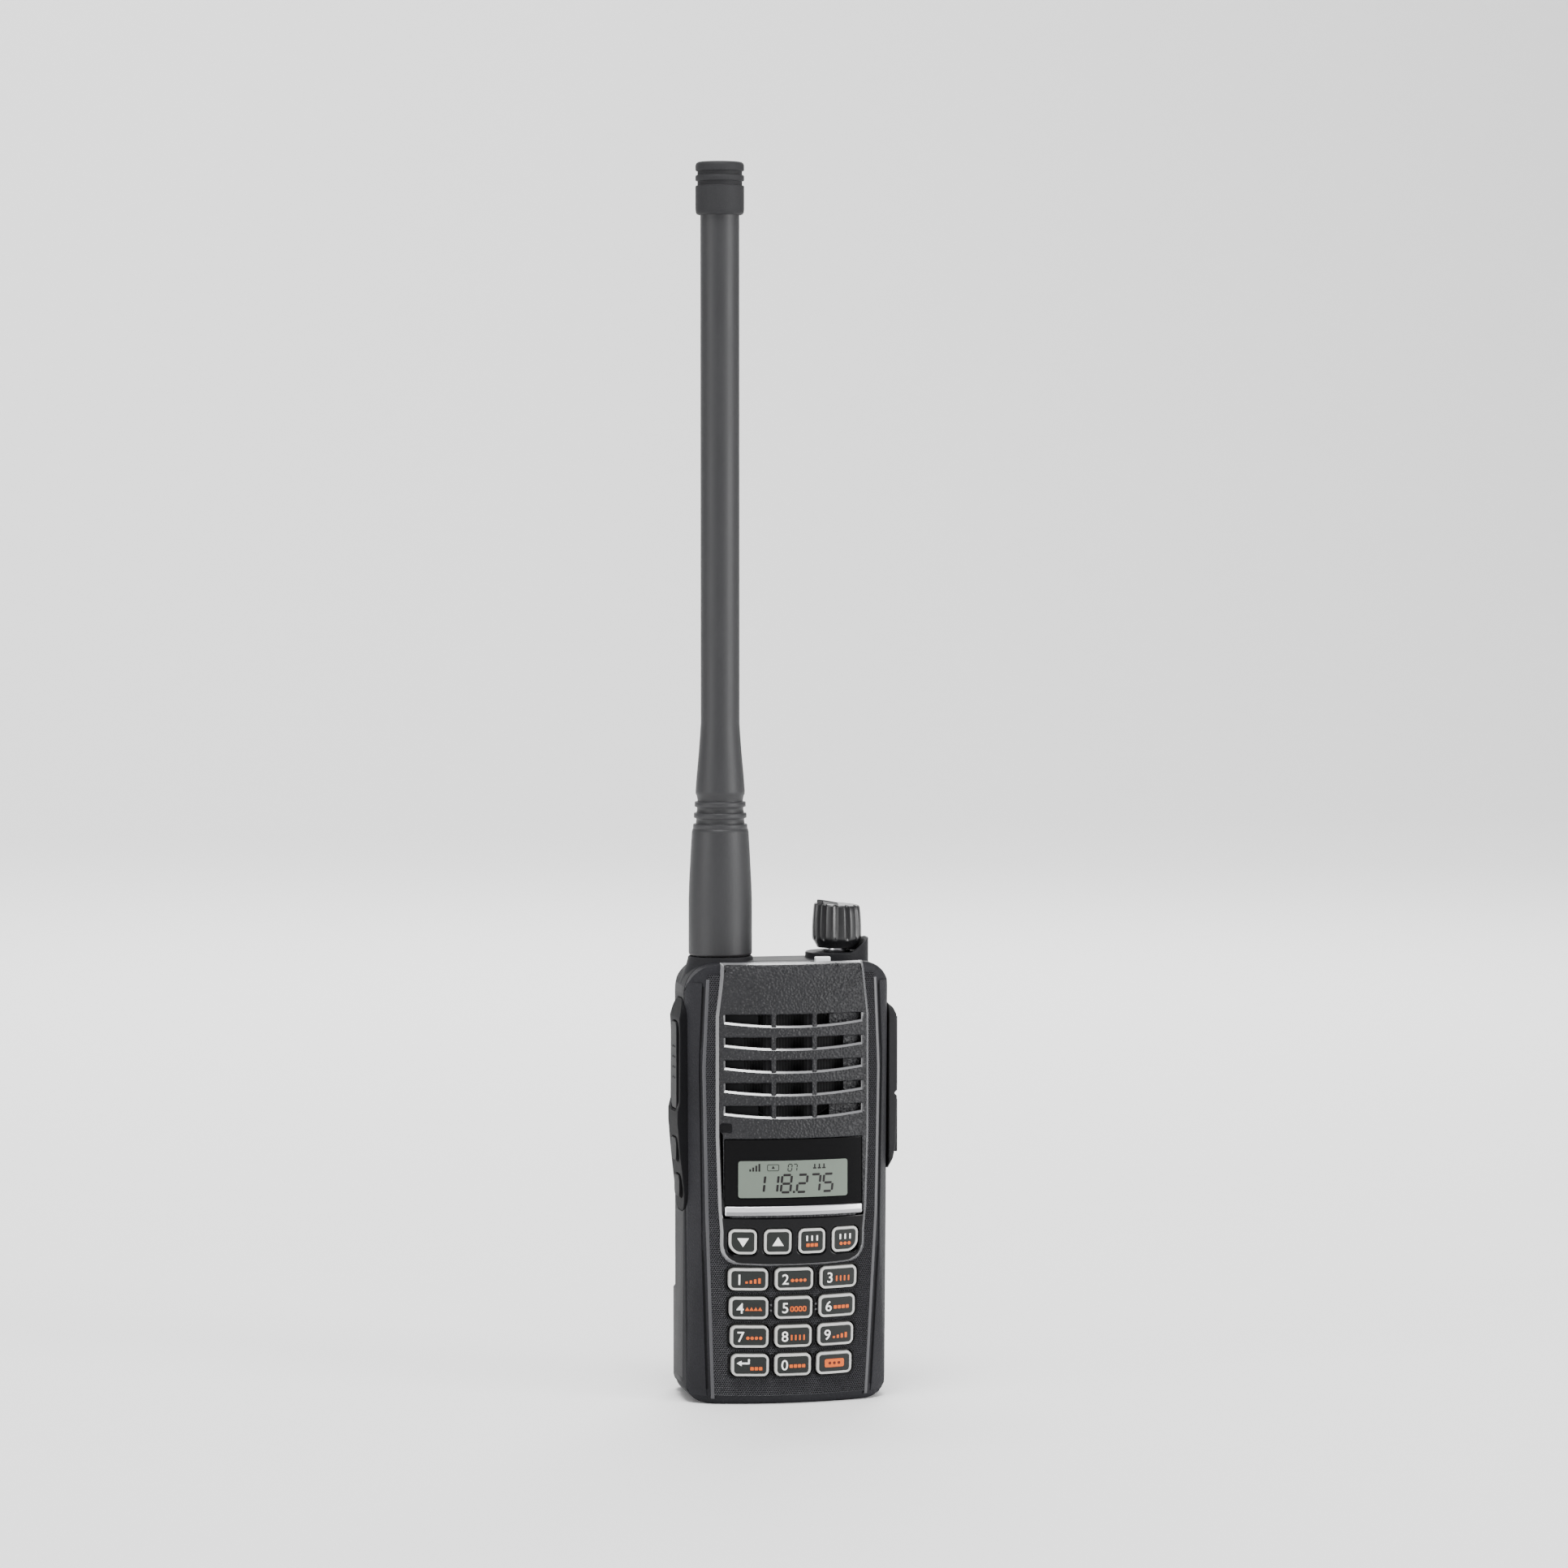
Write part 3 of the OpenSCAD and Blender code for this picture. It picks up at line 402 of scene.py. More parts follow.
def rolled(point: Vector) -> Vector:
    """Lifts and rolls back the top of the panel, given a point in the radio's frame."""
    share = max(0.0, (point.z - ROLL_Z) / (PANEL_TOP - ROLL_Z))
    return Vector((point.x, point.y + ROLL_BACK * share * share, point.z + PANEL_LIFT * share))


def between(value: float, table: Sequence[tuple[float, float]]) -> float:
    """Reads a table of pairs in rising order, with straight lines between them."""
    for (a, fa), (b, fb) in zip(table, table[1:]):
        if value <= b:
            return fa + (fb - fa) * max(0.0, (value - a) / (b - a))
    return table[-1][1]


FRAME_EDGE = ((0, 19.9), (2.5, 20.0), (48, 21.9), (85, 22.6), (108.5, 21.6), (112, 20.9))
FACET_REAR = ((2.5, -6.3), (48, -7.8), (85, -8.6), (108.5, -9.3))
PANEL_EDGE = ((44, 17.8), (50, 18.3), (68, 18.9), (98, 18.9), (109.6, 17.5))
FACET_X = 25.4
HALF_W = 26.1


def outline_x(z: float) -> float:
    """Half width of the case's outline at a height, with its rounded corners."""
    if z < 6:
        return HALF_W - 6 + math.sqrt(max(0.0, 36 - (6 - z) ** 2))
    if z > 103:
        return HALF_W - 8 + math.sqrt(max(0.0, 64 - (z - 103) ** 2))
    return HALF_W


class CaseSurface:
    """The outer surface of the CAD front case, felt with rays."""

    tree: Optional[BVHTree] = None

    @classmethod
    def drop(cls, place: Vector, out: Vector) -> Vector:
        """Moves a place along its outward direction on to the surface, if it is there."""
        if cls.tree is None:
            bm = cad_copy("front_case")
            cls.tree = BVHTree.FromBMesh(bm)
            bm.free()
        hit = cls.tree.ray_cast(place + out * 3, -out, 4.0)[0]
        return hit if hit else place


def on_facet(point: Vector) -> Vector:
    """Bends a flat point on to the right side facet.

    Args:
        point: share of the way from the frame to the facet's rear edge, height, and how far it stands
            proud.

    Returns:
        The point in the radio's frame, in millimetres.
    """
    share, z, proud = point
    w = between(z, FRAME_EDGE)
    front = Vector((w, on_face(Vector((w, z, 0))).y))
    rear = Vector((FACET_X, between(z, FACET_REAR)))
    reach = min(1.0, (outline_x(z) - 0.05 - w) / (FACET_X - w))
    run = rear - front
    out = Vector((run.y, -run.x)).normalized()
    place = front + run * (share * reach)
    along = Vector((out.x, out.y, 0))
    return CaseSurface.drop(Vector((place.x, place.y, z)), along) + along * proud


def facet_bend(side: int) -> Bend:
    """The bend that takes flat points on to the facet of one side, left or right."""
    def bend(p: Vector) -> Vector:
        """Bends one point."""
        q = on_facet(p)
        return Vector((side * q.x, q.y, q.z))

    return bend


def side_name(side: int) -> str:
    """Left or right, in words."""
    return "right" if side > 0 else "left"


def turn(bm: bmesh.types.BMesh, bend: Bend) -> bmesh.types.BMesh:
    """Moves every vertex through a bend, and returns the mesh."""
    for v in bm.verts:
        v.co = bend(v.co)
    return bm


def slice_columns(bm: bmesh.types.BMesh, low: float, high: float, step: float, axis: int = 0) -> None:
    """Cuts a mesh at even steps, so that it can bend.

    Args:
        bm: the mesh to cut.
        low: where the cuts start.
        high: where they end.
        step: from one cut to the next.
        axis: 0 for cuts across X, 1 across Y, 2 across Z.
    """
    normal = Vector([float(k == axis) for k in range(3)])
    for k in range(int((high - low) / step) + 1):
        geometry = bm.verts[:] + bm.edges[:] + bm.faces[:]
        bmesh.ops.bisect_plane(bm, geom=geometry, dist=1e-5, plane_co=normal * (low + step * k),
                               plane_no=normal)


def soften(bm: bmesh.types.BMesh, width: float, segments: int = 2, angle: float = 28.0,
           pick: Optional[Callable[[bmesh.types.BMEdge], bool]] = None) -> bmesh.types.BMesh:
    """Bevels the sharp edges.

    Args:
        bm: the mesh to bevel.
        width: width of the bevel.
        segments: steps across it.
        angle: edges sharper than this, in degrees, are bevelled.
        pick: says which of them, when given.

    Returns:
        The same mesh.
    """
    limit = math.radians(angle)
    edges = [e for e in bm.edges if len(e.link_faces) == 2 and e.calc_face_angle(0.0) > limit
             and (pick is None or pick(e))]
    if edges:
        bmesh.ops.bevel(bm, geom=edges, offset=width, offset_type="OFFSET", segments=segments,
                        profile=0.5,
                        affect="EDGES", clamp_overlap=False, material=-1)
    return bm


def rounded_face(w: float, h: float, r: float, centre: tuple[float, float] = (0.0, 0.0),
                 height: float = 0.0,
                 corner: Optional[tuple[int, int, float]] = None, steps: int = 6) -> bmesh.types.BMesh:
    """A flat rectangle with rounded corners.

    Args:
        w: width.
        h: height.
        r: corner radius.
        centre: where its centre lies.
        height: how far it lies above the flat.
        corner: signs of one corner that has another radius, and that radius.
        steps: steps round each corner.

    Returns:
        A new mesh of one face.
    """
    bm = bmesh.new()
    bmesh.ops.create_grid(bm, x_segments=1, y_segments=1, size=0.5)
    bmesh.ops.scale(bm, vec=(w, h, 1), verts=bm.verts)
    if corner:
        odd = [v for v in bm.verts if v.co.x * corner[0] > 0 and v.co.y * corner[1] > 0]
        rest = [v for v in bm.verts if v not in odd]
        bmesh.ops.bevel(bm, geom=odd, offset=corner[2], segments=steps * 2, profile=0.5,
                        affect="VERTICES",
                        material=-1)
    else:
        rest = bm.verts[:]
    bmesh.ops.bevel(bm, geom=[v for v in rest if v.is_valid], offset=r, segments=steps, profile=0.5,
                    affect="VERTICES", material=-1)
    bmesh.ops.translate(bm, vec=(*centre, height), verts=bm.verts)
    return bm


def thicken(bm: bmesh.types.BMesh, depth: float) -> bmesh.types.BMesh:
    """Closes a flat sheet into a solid that reaches down by depth, and returns it."""
    made = bmesh.ops.extrude_face_region(bm, geom=bm.faces[:])
    below = [g for g in made["geom"] if isinstance(g, bmesh.types.BMVert)]
    bmesh.ops.translate(bm, vec=(0, 0, -depth), verts=below)
    bmesh.ops.recalc_face_normals(bm, faces=bm.faces[:])
    return bm


def frame_ring(w: float, h: float, r: float, flat: float, slope: float, drop: float, thick: float,
               centre: tuple[float, float] = (0.0, 0.0), height: float = 0.0,
               corner: Optional[tuple[int, int, float]] = None) -> bmesh.types.BMesh:
    """A rounded frame with a flat rim that slopes down inside.

    Args:
        w: outer width.
        h: outer height.
        r: outer corner radius.
        flat: width of the flat rim.
        slope: width of the slope inside it, or 0 for none.
        drop: how far the slope falls.
        thick: how deep the frame is.
        centre: where its centre lies.
        height: how far its rim lies above the flat.
        corner: signs of one corner that has another radius, and that radius.

    Returns:
        A new closed mesh.
    """
    bm = rounded_face(w, h, r, centre, height, corner)
    inner = bm.faces[:]
    bmesh.ops.inset_region(bm, faces=inner, thickness=flat, use_even_offset=True, use_boundary=True)
    if slope:
        bmesh.ops.inset_region(bm, faces=inner, thickness=slope, depth=-drop, use_even_offset=True,
                               use_boundary=True)
    bmesh.ops.delete(bm, geom=inner, context="FACES")
    return thicken(bm, thick)


def lathe(profile: Sequence[tuple[float, float]], centre: tuple[float, float],
          steps: int = 96) -> bmesh.types.BMesh:
    """Spins a profile of radius and height round an upright axis into a closed form."""
    bm = bmesh.new()
    verts = [bm.verts.new((centre[0] + r, centre[1], z)) for r, z in profile]
    edges = [bm.edges.new(pair) for pair in zip(verts, verts[1:])]
    bmesh.ops.spin(bm, geom=verts + edges, cent=(*centre, 0), axis=(0, 0, 1), angle=math.tau, steps=steps,
                   use_merge=True)
    bmesh.ops.remove_doubles(bm, verts=bm.verts[:], dist=1e-4)
    bmesh.ops.recalc_face_normals(bm, faces=bm.faces[:])
    return bm


def slab(low: Vector, high: Vector) -> bmesh.types.BMesh:
    """A plain block between two corners, as a start for bevels and bends."""
    bm = bmesh.new()
    bmesh.ops.create_cube(bm, size=1.0)
    bmesh.ops.scale(bm, vec=high - low, verts=bm.verts)
    bmesh.ops.translate(bm, vec=(low + high) / 2, verts=bm.verts)
    return bm


def cad_copy(node: str) -> bmesh.types.BMesh:
    """A merged copy of a CAD node's mesh, in millimetres, with its flat faces joined."""
    bm = bmesh.new()
    bm.from_mesh(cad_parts[node].data)
    bmesh.ops.scale(bm, vec=(1 / MM,) * 3, verts=bm.verts)
    bmesh.ops.remove_doubles(bm, verts=bm.verts[:], dist=0.004)
    bmesh.ops.dissolve_limit(bm, angle_limit=math.radians(0.8), verts=bm.verts[:], edges=bm.edges[:])
    return bm


def add(target: bmesh.types.BMesh, *others: bmesh.types.BMesh) -> bmesh.types.BMesh:
    """Adds other meshes to the target, frees them and returns the target."""
    for other in others:
        scratch = bpy.data.meshes.new("scratch")
        other.to_mesh(scratch)
        other.free()
        target.from_mesh(scratch)
        bpy.data.meshes.remove(scratch)
    return target


def lettering(text: str, height: float, centre: tuple[float, float], raised: float, bold: float = 0.004) \
        -> bmesh.types.BMesh:
    """Flat digits with a little thickness.

    Args:
        text: the digits.
        height: their height.
        centre: where their centre lies.
        raised: how far their face lies above the flat.
        bold: how much each stroke is widened.

    Returns:
        A new mesh.
    """
    curve = bpy.data.curves.new("digits", "FONT")
    curve.body, curve.size, curve.offset, curve.extrude = text, 1.0, bold, 0.03
    holder = bpy.data.objects.new("digits", curve)
    bpy.context.scene.collection.objects.link(holder)
    bpy.context.view_layer.update()
    made = bpy.data.meshes.new_from_object(holder.evaluated_get(bpy.context.evaluated_depsgraph_get()))
    bm = bmesh.new()
    bm.from_mesh(made)
    bpy.data.objects.remove(holder)
    bpy.data.curves.remove(curve)
    bpy.data.meshes.remove(made)
    low = Vector([min(v.co[k] for v in bm.verts) for k in range(3)])
    high = Vector([max(v.co[k] for v in bm.verts) for k in range(3)])
    size = height / (high.y - low.y)
    bmesh.ops.translate(bm, vec=-(low + high) / 2, verts=bm.verts)
    bmesh.ops.scale(bm, vec=(size, size, 1), verts=bm.verts)
    bmesh.ops.translate(bm, vec=(*centre, raised), verts=bm.verts)
    bmesh.ops.remove_doubles(bm, verts=bm.verts[:], dist=1e-4)
    bmesh.ops.holes_fill(bm, edges=[e for e in bm.edges if e.is_boundary], sides=0)
    return bm


def finish_piece(name: str, bm: bmesh.types.BMesh, finish: Finish, body: str,
                 stands_for: Sequence[str] = (), sharp: float = 32.0) -> bpy.types.Object:
    """Makes an object of a mesh drawn in millimetres, and sets it on its body.

    Args:
        name: the piece's name.
        bm: its mesh, which is freed.
        finish: its finish.
        body: the CAD body it rides on.
        stands_for: CAD nodes that it replaces.
        sharp: edges sharper than this, in degrees, shade sharp.

    Returns:
        The new object.
    """
    bmesh.ops.scale(bm, vec=(MM,) * 3, verts=bm.verts)
    mesh = bpy.data.meshes.new(name)
    bm.to_mesh(mesh)
    bm.free()
    mesh.shade_smooth()
    mesh.set_sharp_from_angle(angle=math.radians(sharp))
    piece = bpy.data.objects.new(name, mesh)
    bpy.context.scene.collection.objects.link(piece)
    piece.data.materials.append(finish.material())
    even = piece.modifiers.new("flat faces shade flat", "WEIGHTED_NORMAL")
    even.keep_sharp, even.weight = True, 60
    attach(piece, body)
    if stands_for:
        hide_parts(*stands_for)
    LOG.info("%s: %d faces on %s, %s", name, len(mesh.polygons), body, finish.label)
    return piece


# ---------------------------------------------------------------- sub-assemblies

@dataclass
class Antenna:
    """The whip with its ribbed foot and capped tip."""

    steps: int = 96
    rib_tops: Sequence[tuple[float, float]] = ((144.6, 6.85), (147.4, 6.65), (150.2, 6.45))

    def build(self) -> None:
        """Builds the whip, the tip and the flared seat under them."""
        low, high = node_box("antenna_whip")
        self.x, self.foot, self.top = (low.x + high.x) / 2, low.z, node_box("antenna_cap")[1].z
        self.whip()
        self.tip()
        self.seat()

    def whip(self) -> None:
        """The whip: a straight foot, a taper, three ribs, a flare and a slim rod."""
        z, rod = self.foot, 4.88
        profile = [(0, z + 12.3), (6.95, z + 12.3), (6.95, z + 0.15), (7.2, z), (7.55, z),
                   (7.85, z + 0.2), (8.0, z + 0.6), (8.0, z + 8), (7.98, z + 14), (7.85, z + 18),
                   (7.45, z + 26), (7.15, z + 31), (7.02, z + 31.6), (6.8, z + 31.9), (6.3, z + 31.95)]
        for middle, r in self.rib_tops:
            profile += [(r - 0.62, middle - 0.95), (r - 0.5, middle - 0.75), (r - 0.1, middle - 0.65),
                        (r, middle - 0.5), (r - 0.03, middle + 0.45), (r - 0.15, middle + 0.62),
                        (r - 0.65, middle + 0.72), (r - 0.75, middle + 0.95)]
        profile += [(5.95, 152.4), (6.18, 152.7), (6.2, 153.6), (5.95, 157), (5.45, 162.5), (5.1, 167),
                    (rod, 170.6), (rod, 200), (rod, 240), (rod, 280), (rod, self.top - 11),
                    (0, self.top - 11)]
        finish_piece("antenna_whip_skin", lathe(profile, (self.x, 0), self.steps), ANTENNA, "antenna",
                     ["antenna_whip"], 40)

    def tip(self) -> None:
        """The tip: a capped grip with two grooves and a domed, slightly dished end."""
        z = self.top
        profile = [(0, z - 12.9), (4.9, z - 12.9), (5.4, z - 13.2), (5.75, z - 13.05), (6.0, z - 12.6),
                   (6.1, z - 11.8), (6.1, z - 6.2), (6.02, z - 6.0), (5.62, z - 5.85), (5.6, z - 4.9),
                   (6.0, z - 4.75), (6.1, z - 4.55), (6.1, z - 3.6), (6.0, z - 3.4), (5.6, z - 3.25),
                   (5.6, z - 2.4), (6.0, z - 2.25), (6.1, z - 2.05), (6.08, z - 0.9), (5.9, z - 0.4),
                   (5.5, z - 0.08), (5.1, z), (4.6, z - 0.05), (3.8, z - 0.35), (2.0, z - 0.42),
                   (0, z - 0.42)]
        finish_piece("antenna_tip_cap", lathe(profile, (self.x, 0), self.steps), TIP, "antenna",
                     ["antenna_cap"], 40)

    def seat(self) -> None:
        """The flared seat that grows out of the shoulder under the antenna."""
        profile = [(5.0, 111.95), (7.9, 112.0), (8.12, 111.85), (8.2, 111.4), (8.5, 110.2), (9.2, 108.2),
                   (10.35, 105.4), (10.3, 103.5), (5.0, 103.5)]
        bm = lathe(profile + [profile[0]], (self.x, 0), 72)
        finish_piece("antenna_seat_flare", bm, CHASSIS, "body")


@dataclass
class VolumeKnob:
    """The lobed volume knob with its raised pointer."""

    lobes: int = 12
    lobe_depth: float = 0.5
    slant: float = 0.35
    valley_share: float = 0.2
    skirt_h: float = 2.0
    crown_h: float = 3.0
    grip_r: float = 6.2
    inner_r: float = 4.4
    drop: float = 0.15
    extra_h: float = 1.15

    def build(self) -> None:
        """Builds the knob on its shaft, a little taller than its CAD form."""
        low, high = node_box("volume_knob")
        x, z, h = (low.x + high.x) / 2, low.z - self.drop, high.z - low.z + self.extra_h
        profile = [(0, z + 0.02), (3.95, z + 0.02), (4.9, z), (5.05, z + 0.1), (5.15, z + 0.5),
                   (5.75, z + 1.5), (6.05, z + 1.9), (6.2, z + 2.3), (6.26, z + 3.0), (6.24, z + 5),
                   (6.15, z + 7), (6.02, z + 8.6), (5.82, z + h - 1.75), (5.6, z + h - 1.45),
                   (5.1, z + h - 1.25), (4.3, z + h - 1.35), (2.5, z + h - 1.6), (0, z + h - 1.65)]
        bm = lathe(profile, (x, 0), self.lobes * 16)
        for v in bm.verts:
            self._shape(v, x, z, h)
        bmesh.ops.recalc_face_normals(bm, faces=bm.faces[:])
        add(bm, self._pointer(x, z + h))
        finish_piece("volume_knob_grip", bm, KNOB, "volume_knob", ["volume_knob"], 30)

    def _shape(self, v: bmesh.types.BMVert, x: float, z: float, h: float) -> None:
        """Presses the valleys between the lobes into one vertex, and slants the top."""
        across = Vector((v.co.x - x, v.co.y, 0))
        r, up = across.length, v.co.z - z
        if r < 1e-3:
            return
        turn_by = (math.atan2(v.co.y, v.co.x - x) * self.lobes / math.tau) % 1.0
        valley = max(0.0, 1 - abs(turn_by - 0.5) / self.valley_share) ** 0.7
        rise = min(1.0, max(0.0, (up - self.skirt_h) / 0.8))
        inner = min(1.0, max(0.0, (r - self.inner_r) / 0.9))
        r_new = r - self.lobe_depth * valley * rise * inner
        v.co.x, v.co.y = x + across.x / r * r_new, across.y / r * r_new
        if up > h - self.crown_h:
            share = min(1.0, (up - h + self.crown_h) / 1.2)
            v.co.z -= self.slant * (v.co.x - x) / self.grip_r * share

    def _pointer(self, x: float, top: float) -> bmesh.types.BMesh:
        """The raised wedge that marks where the knob points."""
        bm = slab(Vector((-5.1, -1.5, -1.9)), Vector((-0.2, 1.5, -0.02)))
        for v in bm.verts:
            if v.co.x > -1 and v.co.z > -1:
                v.co.z -= 0.9
                v.co.y *= 0.7
        soften(bm, 0.32, 3, 40)
        bmesh.ops.rotate(bm, cent=(0, 0, 0), matrix=Matrix.Rotation(math.radians(20), 3, "Z"),
                         verts=bm.verts)
        bmesh.ops.translate(bm, vec=(x, 0, top), verts=bm.verts)
        return bm


@dataclass
class FrontFrame:
    """The case's front: dotted frame, its edge beads, the shadow grooves and the grained side facets."""

    pitch: float = 0.56
    wall: float = 0.1
    dent: float = 0.13
    proud: float = 0.2
    facet_proud: float = 0.38
    facet_start: float = 0.2
    facet_end: float = 0.995
    key_holes: list[tuple[float, float, float, float]] = field(default_factory=list)

    def build(self) -> None:
        """Builds every piece of the front frame."""
        finish_piece("front_case_shell", soften(cad_copy("front_case"), 0.22, 2, 30), CASE, "body",
                     ["front_case"])
        self.dotted_frame()
        for side in (-1, 1):
            self.edge_bead(side)
            self.shadow_groove(side)
            self.side_facet(side)

    def _dotted(self, x: float, z: float) -> bool:
        """Whether a dent belongs at a place on the face."""
        if not 2.0 < z < 108.6 or abs(x) > between(z, FRAME_EDGE) - 0.5:
            return False
        if z > 44 and abs(x) < between(z, PANEL_EDGE) - 0.1:
            return False
        if 35.6 < z <= 44:
            foot = 17.8 if z > 40.6 else 17.8 - 4.5 * (1 - math.cos(math.asin((40.6 - z) / 5)))
            if abs(x) < foot - 0.1:
                return False
        return not any(abs(x - cx) < w / 2 - 0.1 and abs(z - cz) < h / 2 - 0.1
                       and not (abs(x - cx) > w / 2 - 0.7 and abs(z - cz) > h / 2 - 0.7)
                       for cx, cz, w, h in self.key_holes)

    def dotted_frame(self) -> None:
        """A field of small six-sided dents over the frame and round the keys; the dents' floors are painted
        dark as shade.
        """
        bm = bmesh.new()
        r, row_h = self.pitch / math.sqrt(3), self.pitch * math.sqrt(3) / 2
        columns, rows = int(46 / self.pitch), int(108 / row_h)
        turned = Matrix.Rotation(math.radians(30), 4, "Z")
        for i in range(columns):
            place = Matrix.Translation((-23 + i * self.pitch, 1.5, 0))
            bmesh.ops.create_circle(bm, cap_ends=True, segments=6, radius=r, matrix=place @ turned)
        first = bm.verts[:] + bm.edges[:] + bm.faces[:]
        for j in range(1, rows):
            made = bmesh.ops.duplicate(bm, geom=first)
            verts = [g for g in made["geom"] if isinstance(g, bmesh.types.BMVert)]
            bmesh.ops.translate(bm, vec=(self.pitch / 2 * (j % 2), row_h * j, 0), verts=verts)
            spare = [f for g in verts for f in g.link_faces if not self._dotted(*f.calc_center_median().xy)]
            bmesh.ops.delete(bm, geom=list(set(spare)), context="FACES")
        spare = [f for f in bm.faces if not self._dotted(*f.calc_center_median().xy)]
        bmesh.ops.delete(bm, geom=spare, context="FACES")
        bmesh.ops.remove_doubles(bm, verts=bm.verts[:], dist=0.03)
        bmesh.ops.recalc_face_normals(bm, faces=bm.faces[:])
        made = bmesh.ops.extrude_face_region(bm, geom=bm.faces[:])["geom"]
        top = [g for g in made if isinstance(g, bmesh.types.BMFace)]
        bmesh.ops.translate(bm, vec=(0, 0, self.proud),
                            verts=[g for g in made if isinstance(g, bmesh.types.BMVert)])
        bmesh.ops.recalc_face_normals(bm, faces=bm.faces[:])
        bmesh.ops.inset_individual(bm, faces=top, thickness=self.wall, depth=-self.dent,
                                   use_even_offset=True)
        # the dents' floors take the painted shade finish
        for face in top:
            face.material_index = 1
        frame_piece = finish_piece("dotted_frame", turn(bm, on_face), FRAME, "body")
        frame_piece.data.materials.append(DENT_SHADE.material())

    def edge_bead(self, side: int) -> None:
        """The smooth bead between the dotted frame and the groove, on one side."""
        bm = slab(Vector((-0.75, 1.2, -0.8)), Vector((0.1, 107.2, 0.26)))
        soften(bm, 0.2, 3, 40, lambda e: all(v.co.z > 0 for v in e.verts))
        slice_columns(bm, 2, 107, 2.5, 1)
        turn(bm, lambda p: on_face(Vector((side * (between(p.y, FRAME_EDGE) + p.x), p.y, p.z))))
        bmesh.ops.recalc_face_normals(bm, faces=bm.faces[:])
        finish_piece(f"frame_bead_{side_name(side)}", bm, FRAME, "body")

    def shadow_groove(self, side: int) -> None:
        """The floor of the groove between the bead and the facet, on one side, painted near black as shade.
        """
        bm = slab(Vector((-0.04, 1.6, -0.5)), Vector((0.215, 105.4, 0.05)))
        slice_columns(bm, 4, 105, 2.5, 1)
        turn(bm, facet_bend(side))
        bmesh.ops.recalc_face_normals(bm, faces=bm.faces[:])
        # the groove floor is painted near black as shade
        finish_piece(f"shadow_groove_{side_name(side)}", bm, GROOVE_SHADE, "body")

    def side_facet(self, side: int) -> None:
        """The grained facet beyond the groove; its front edge stands up as the groove's wall."""
        start, end = self.facet_start, self.facet_end
        bm = slab(Vector((start, 2.2, -0.6)), Vector((end, 106.2, 0)))
        slice_columns(bm, 0.3, 0.95, 0.16, 0)
        slice_columns(bm, 4, 105, 2.5, 1)
        for v in bm.verts:
            if v.co.z > -0.1:
                v.co.z = self.facet_proud * (1 - ((v.co.x - start) / (end - start)) ** 2) + 0.03
        soften(bm, 0.07, 2, 50, lambda e: all(v.co.z > 0 and v.co.x < start + 0.01 for v in e.verts))
        turn(bm, facet_bend(side))
        bmesh.ops.recalc_face_normals(bm, faces=bm.faces[:])
        finish_piece(f"side_facet_{side_name(side)}", bm, CASE, "body")


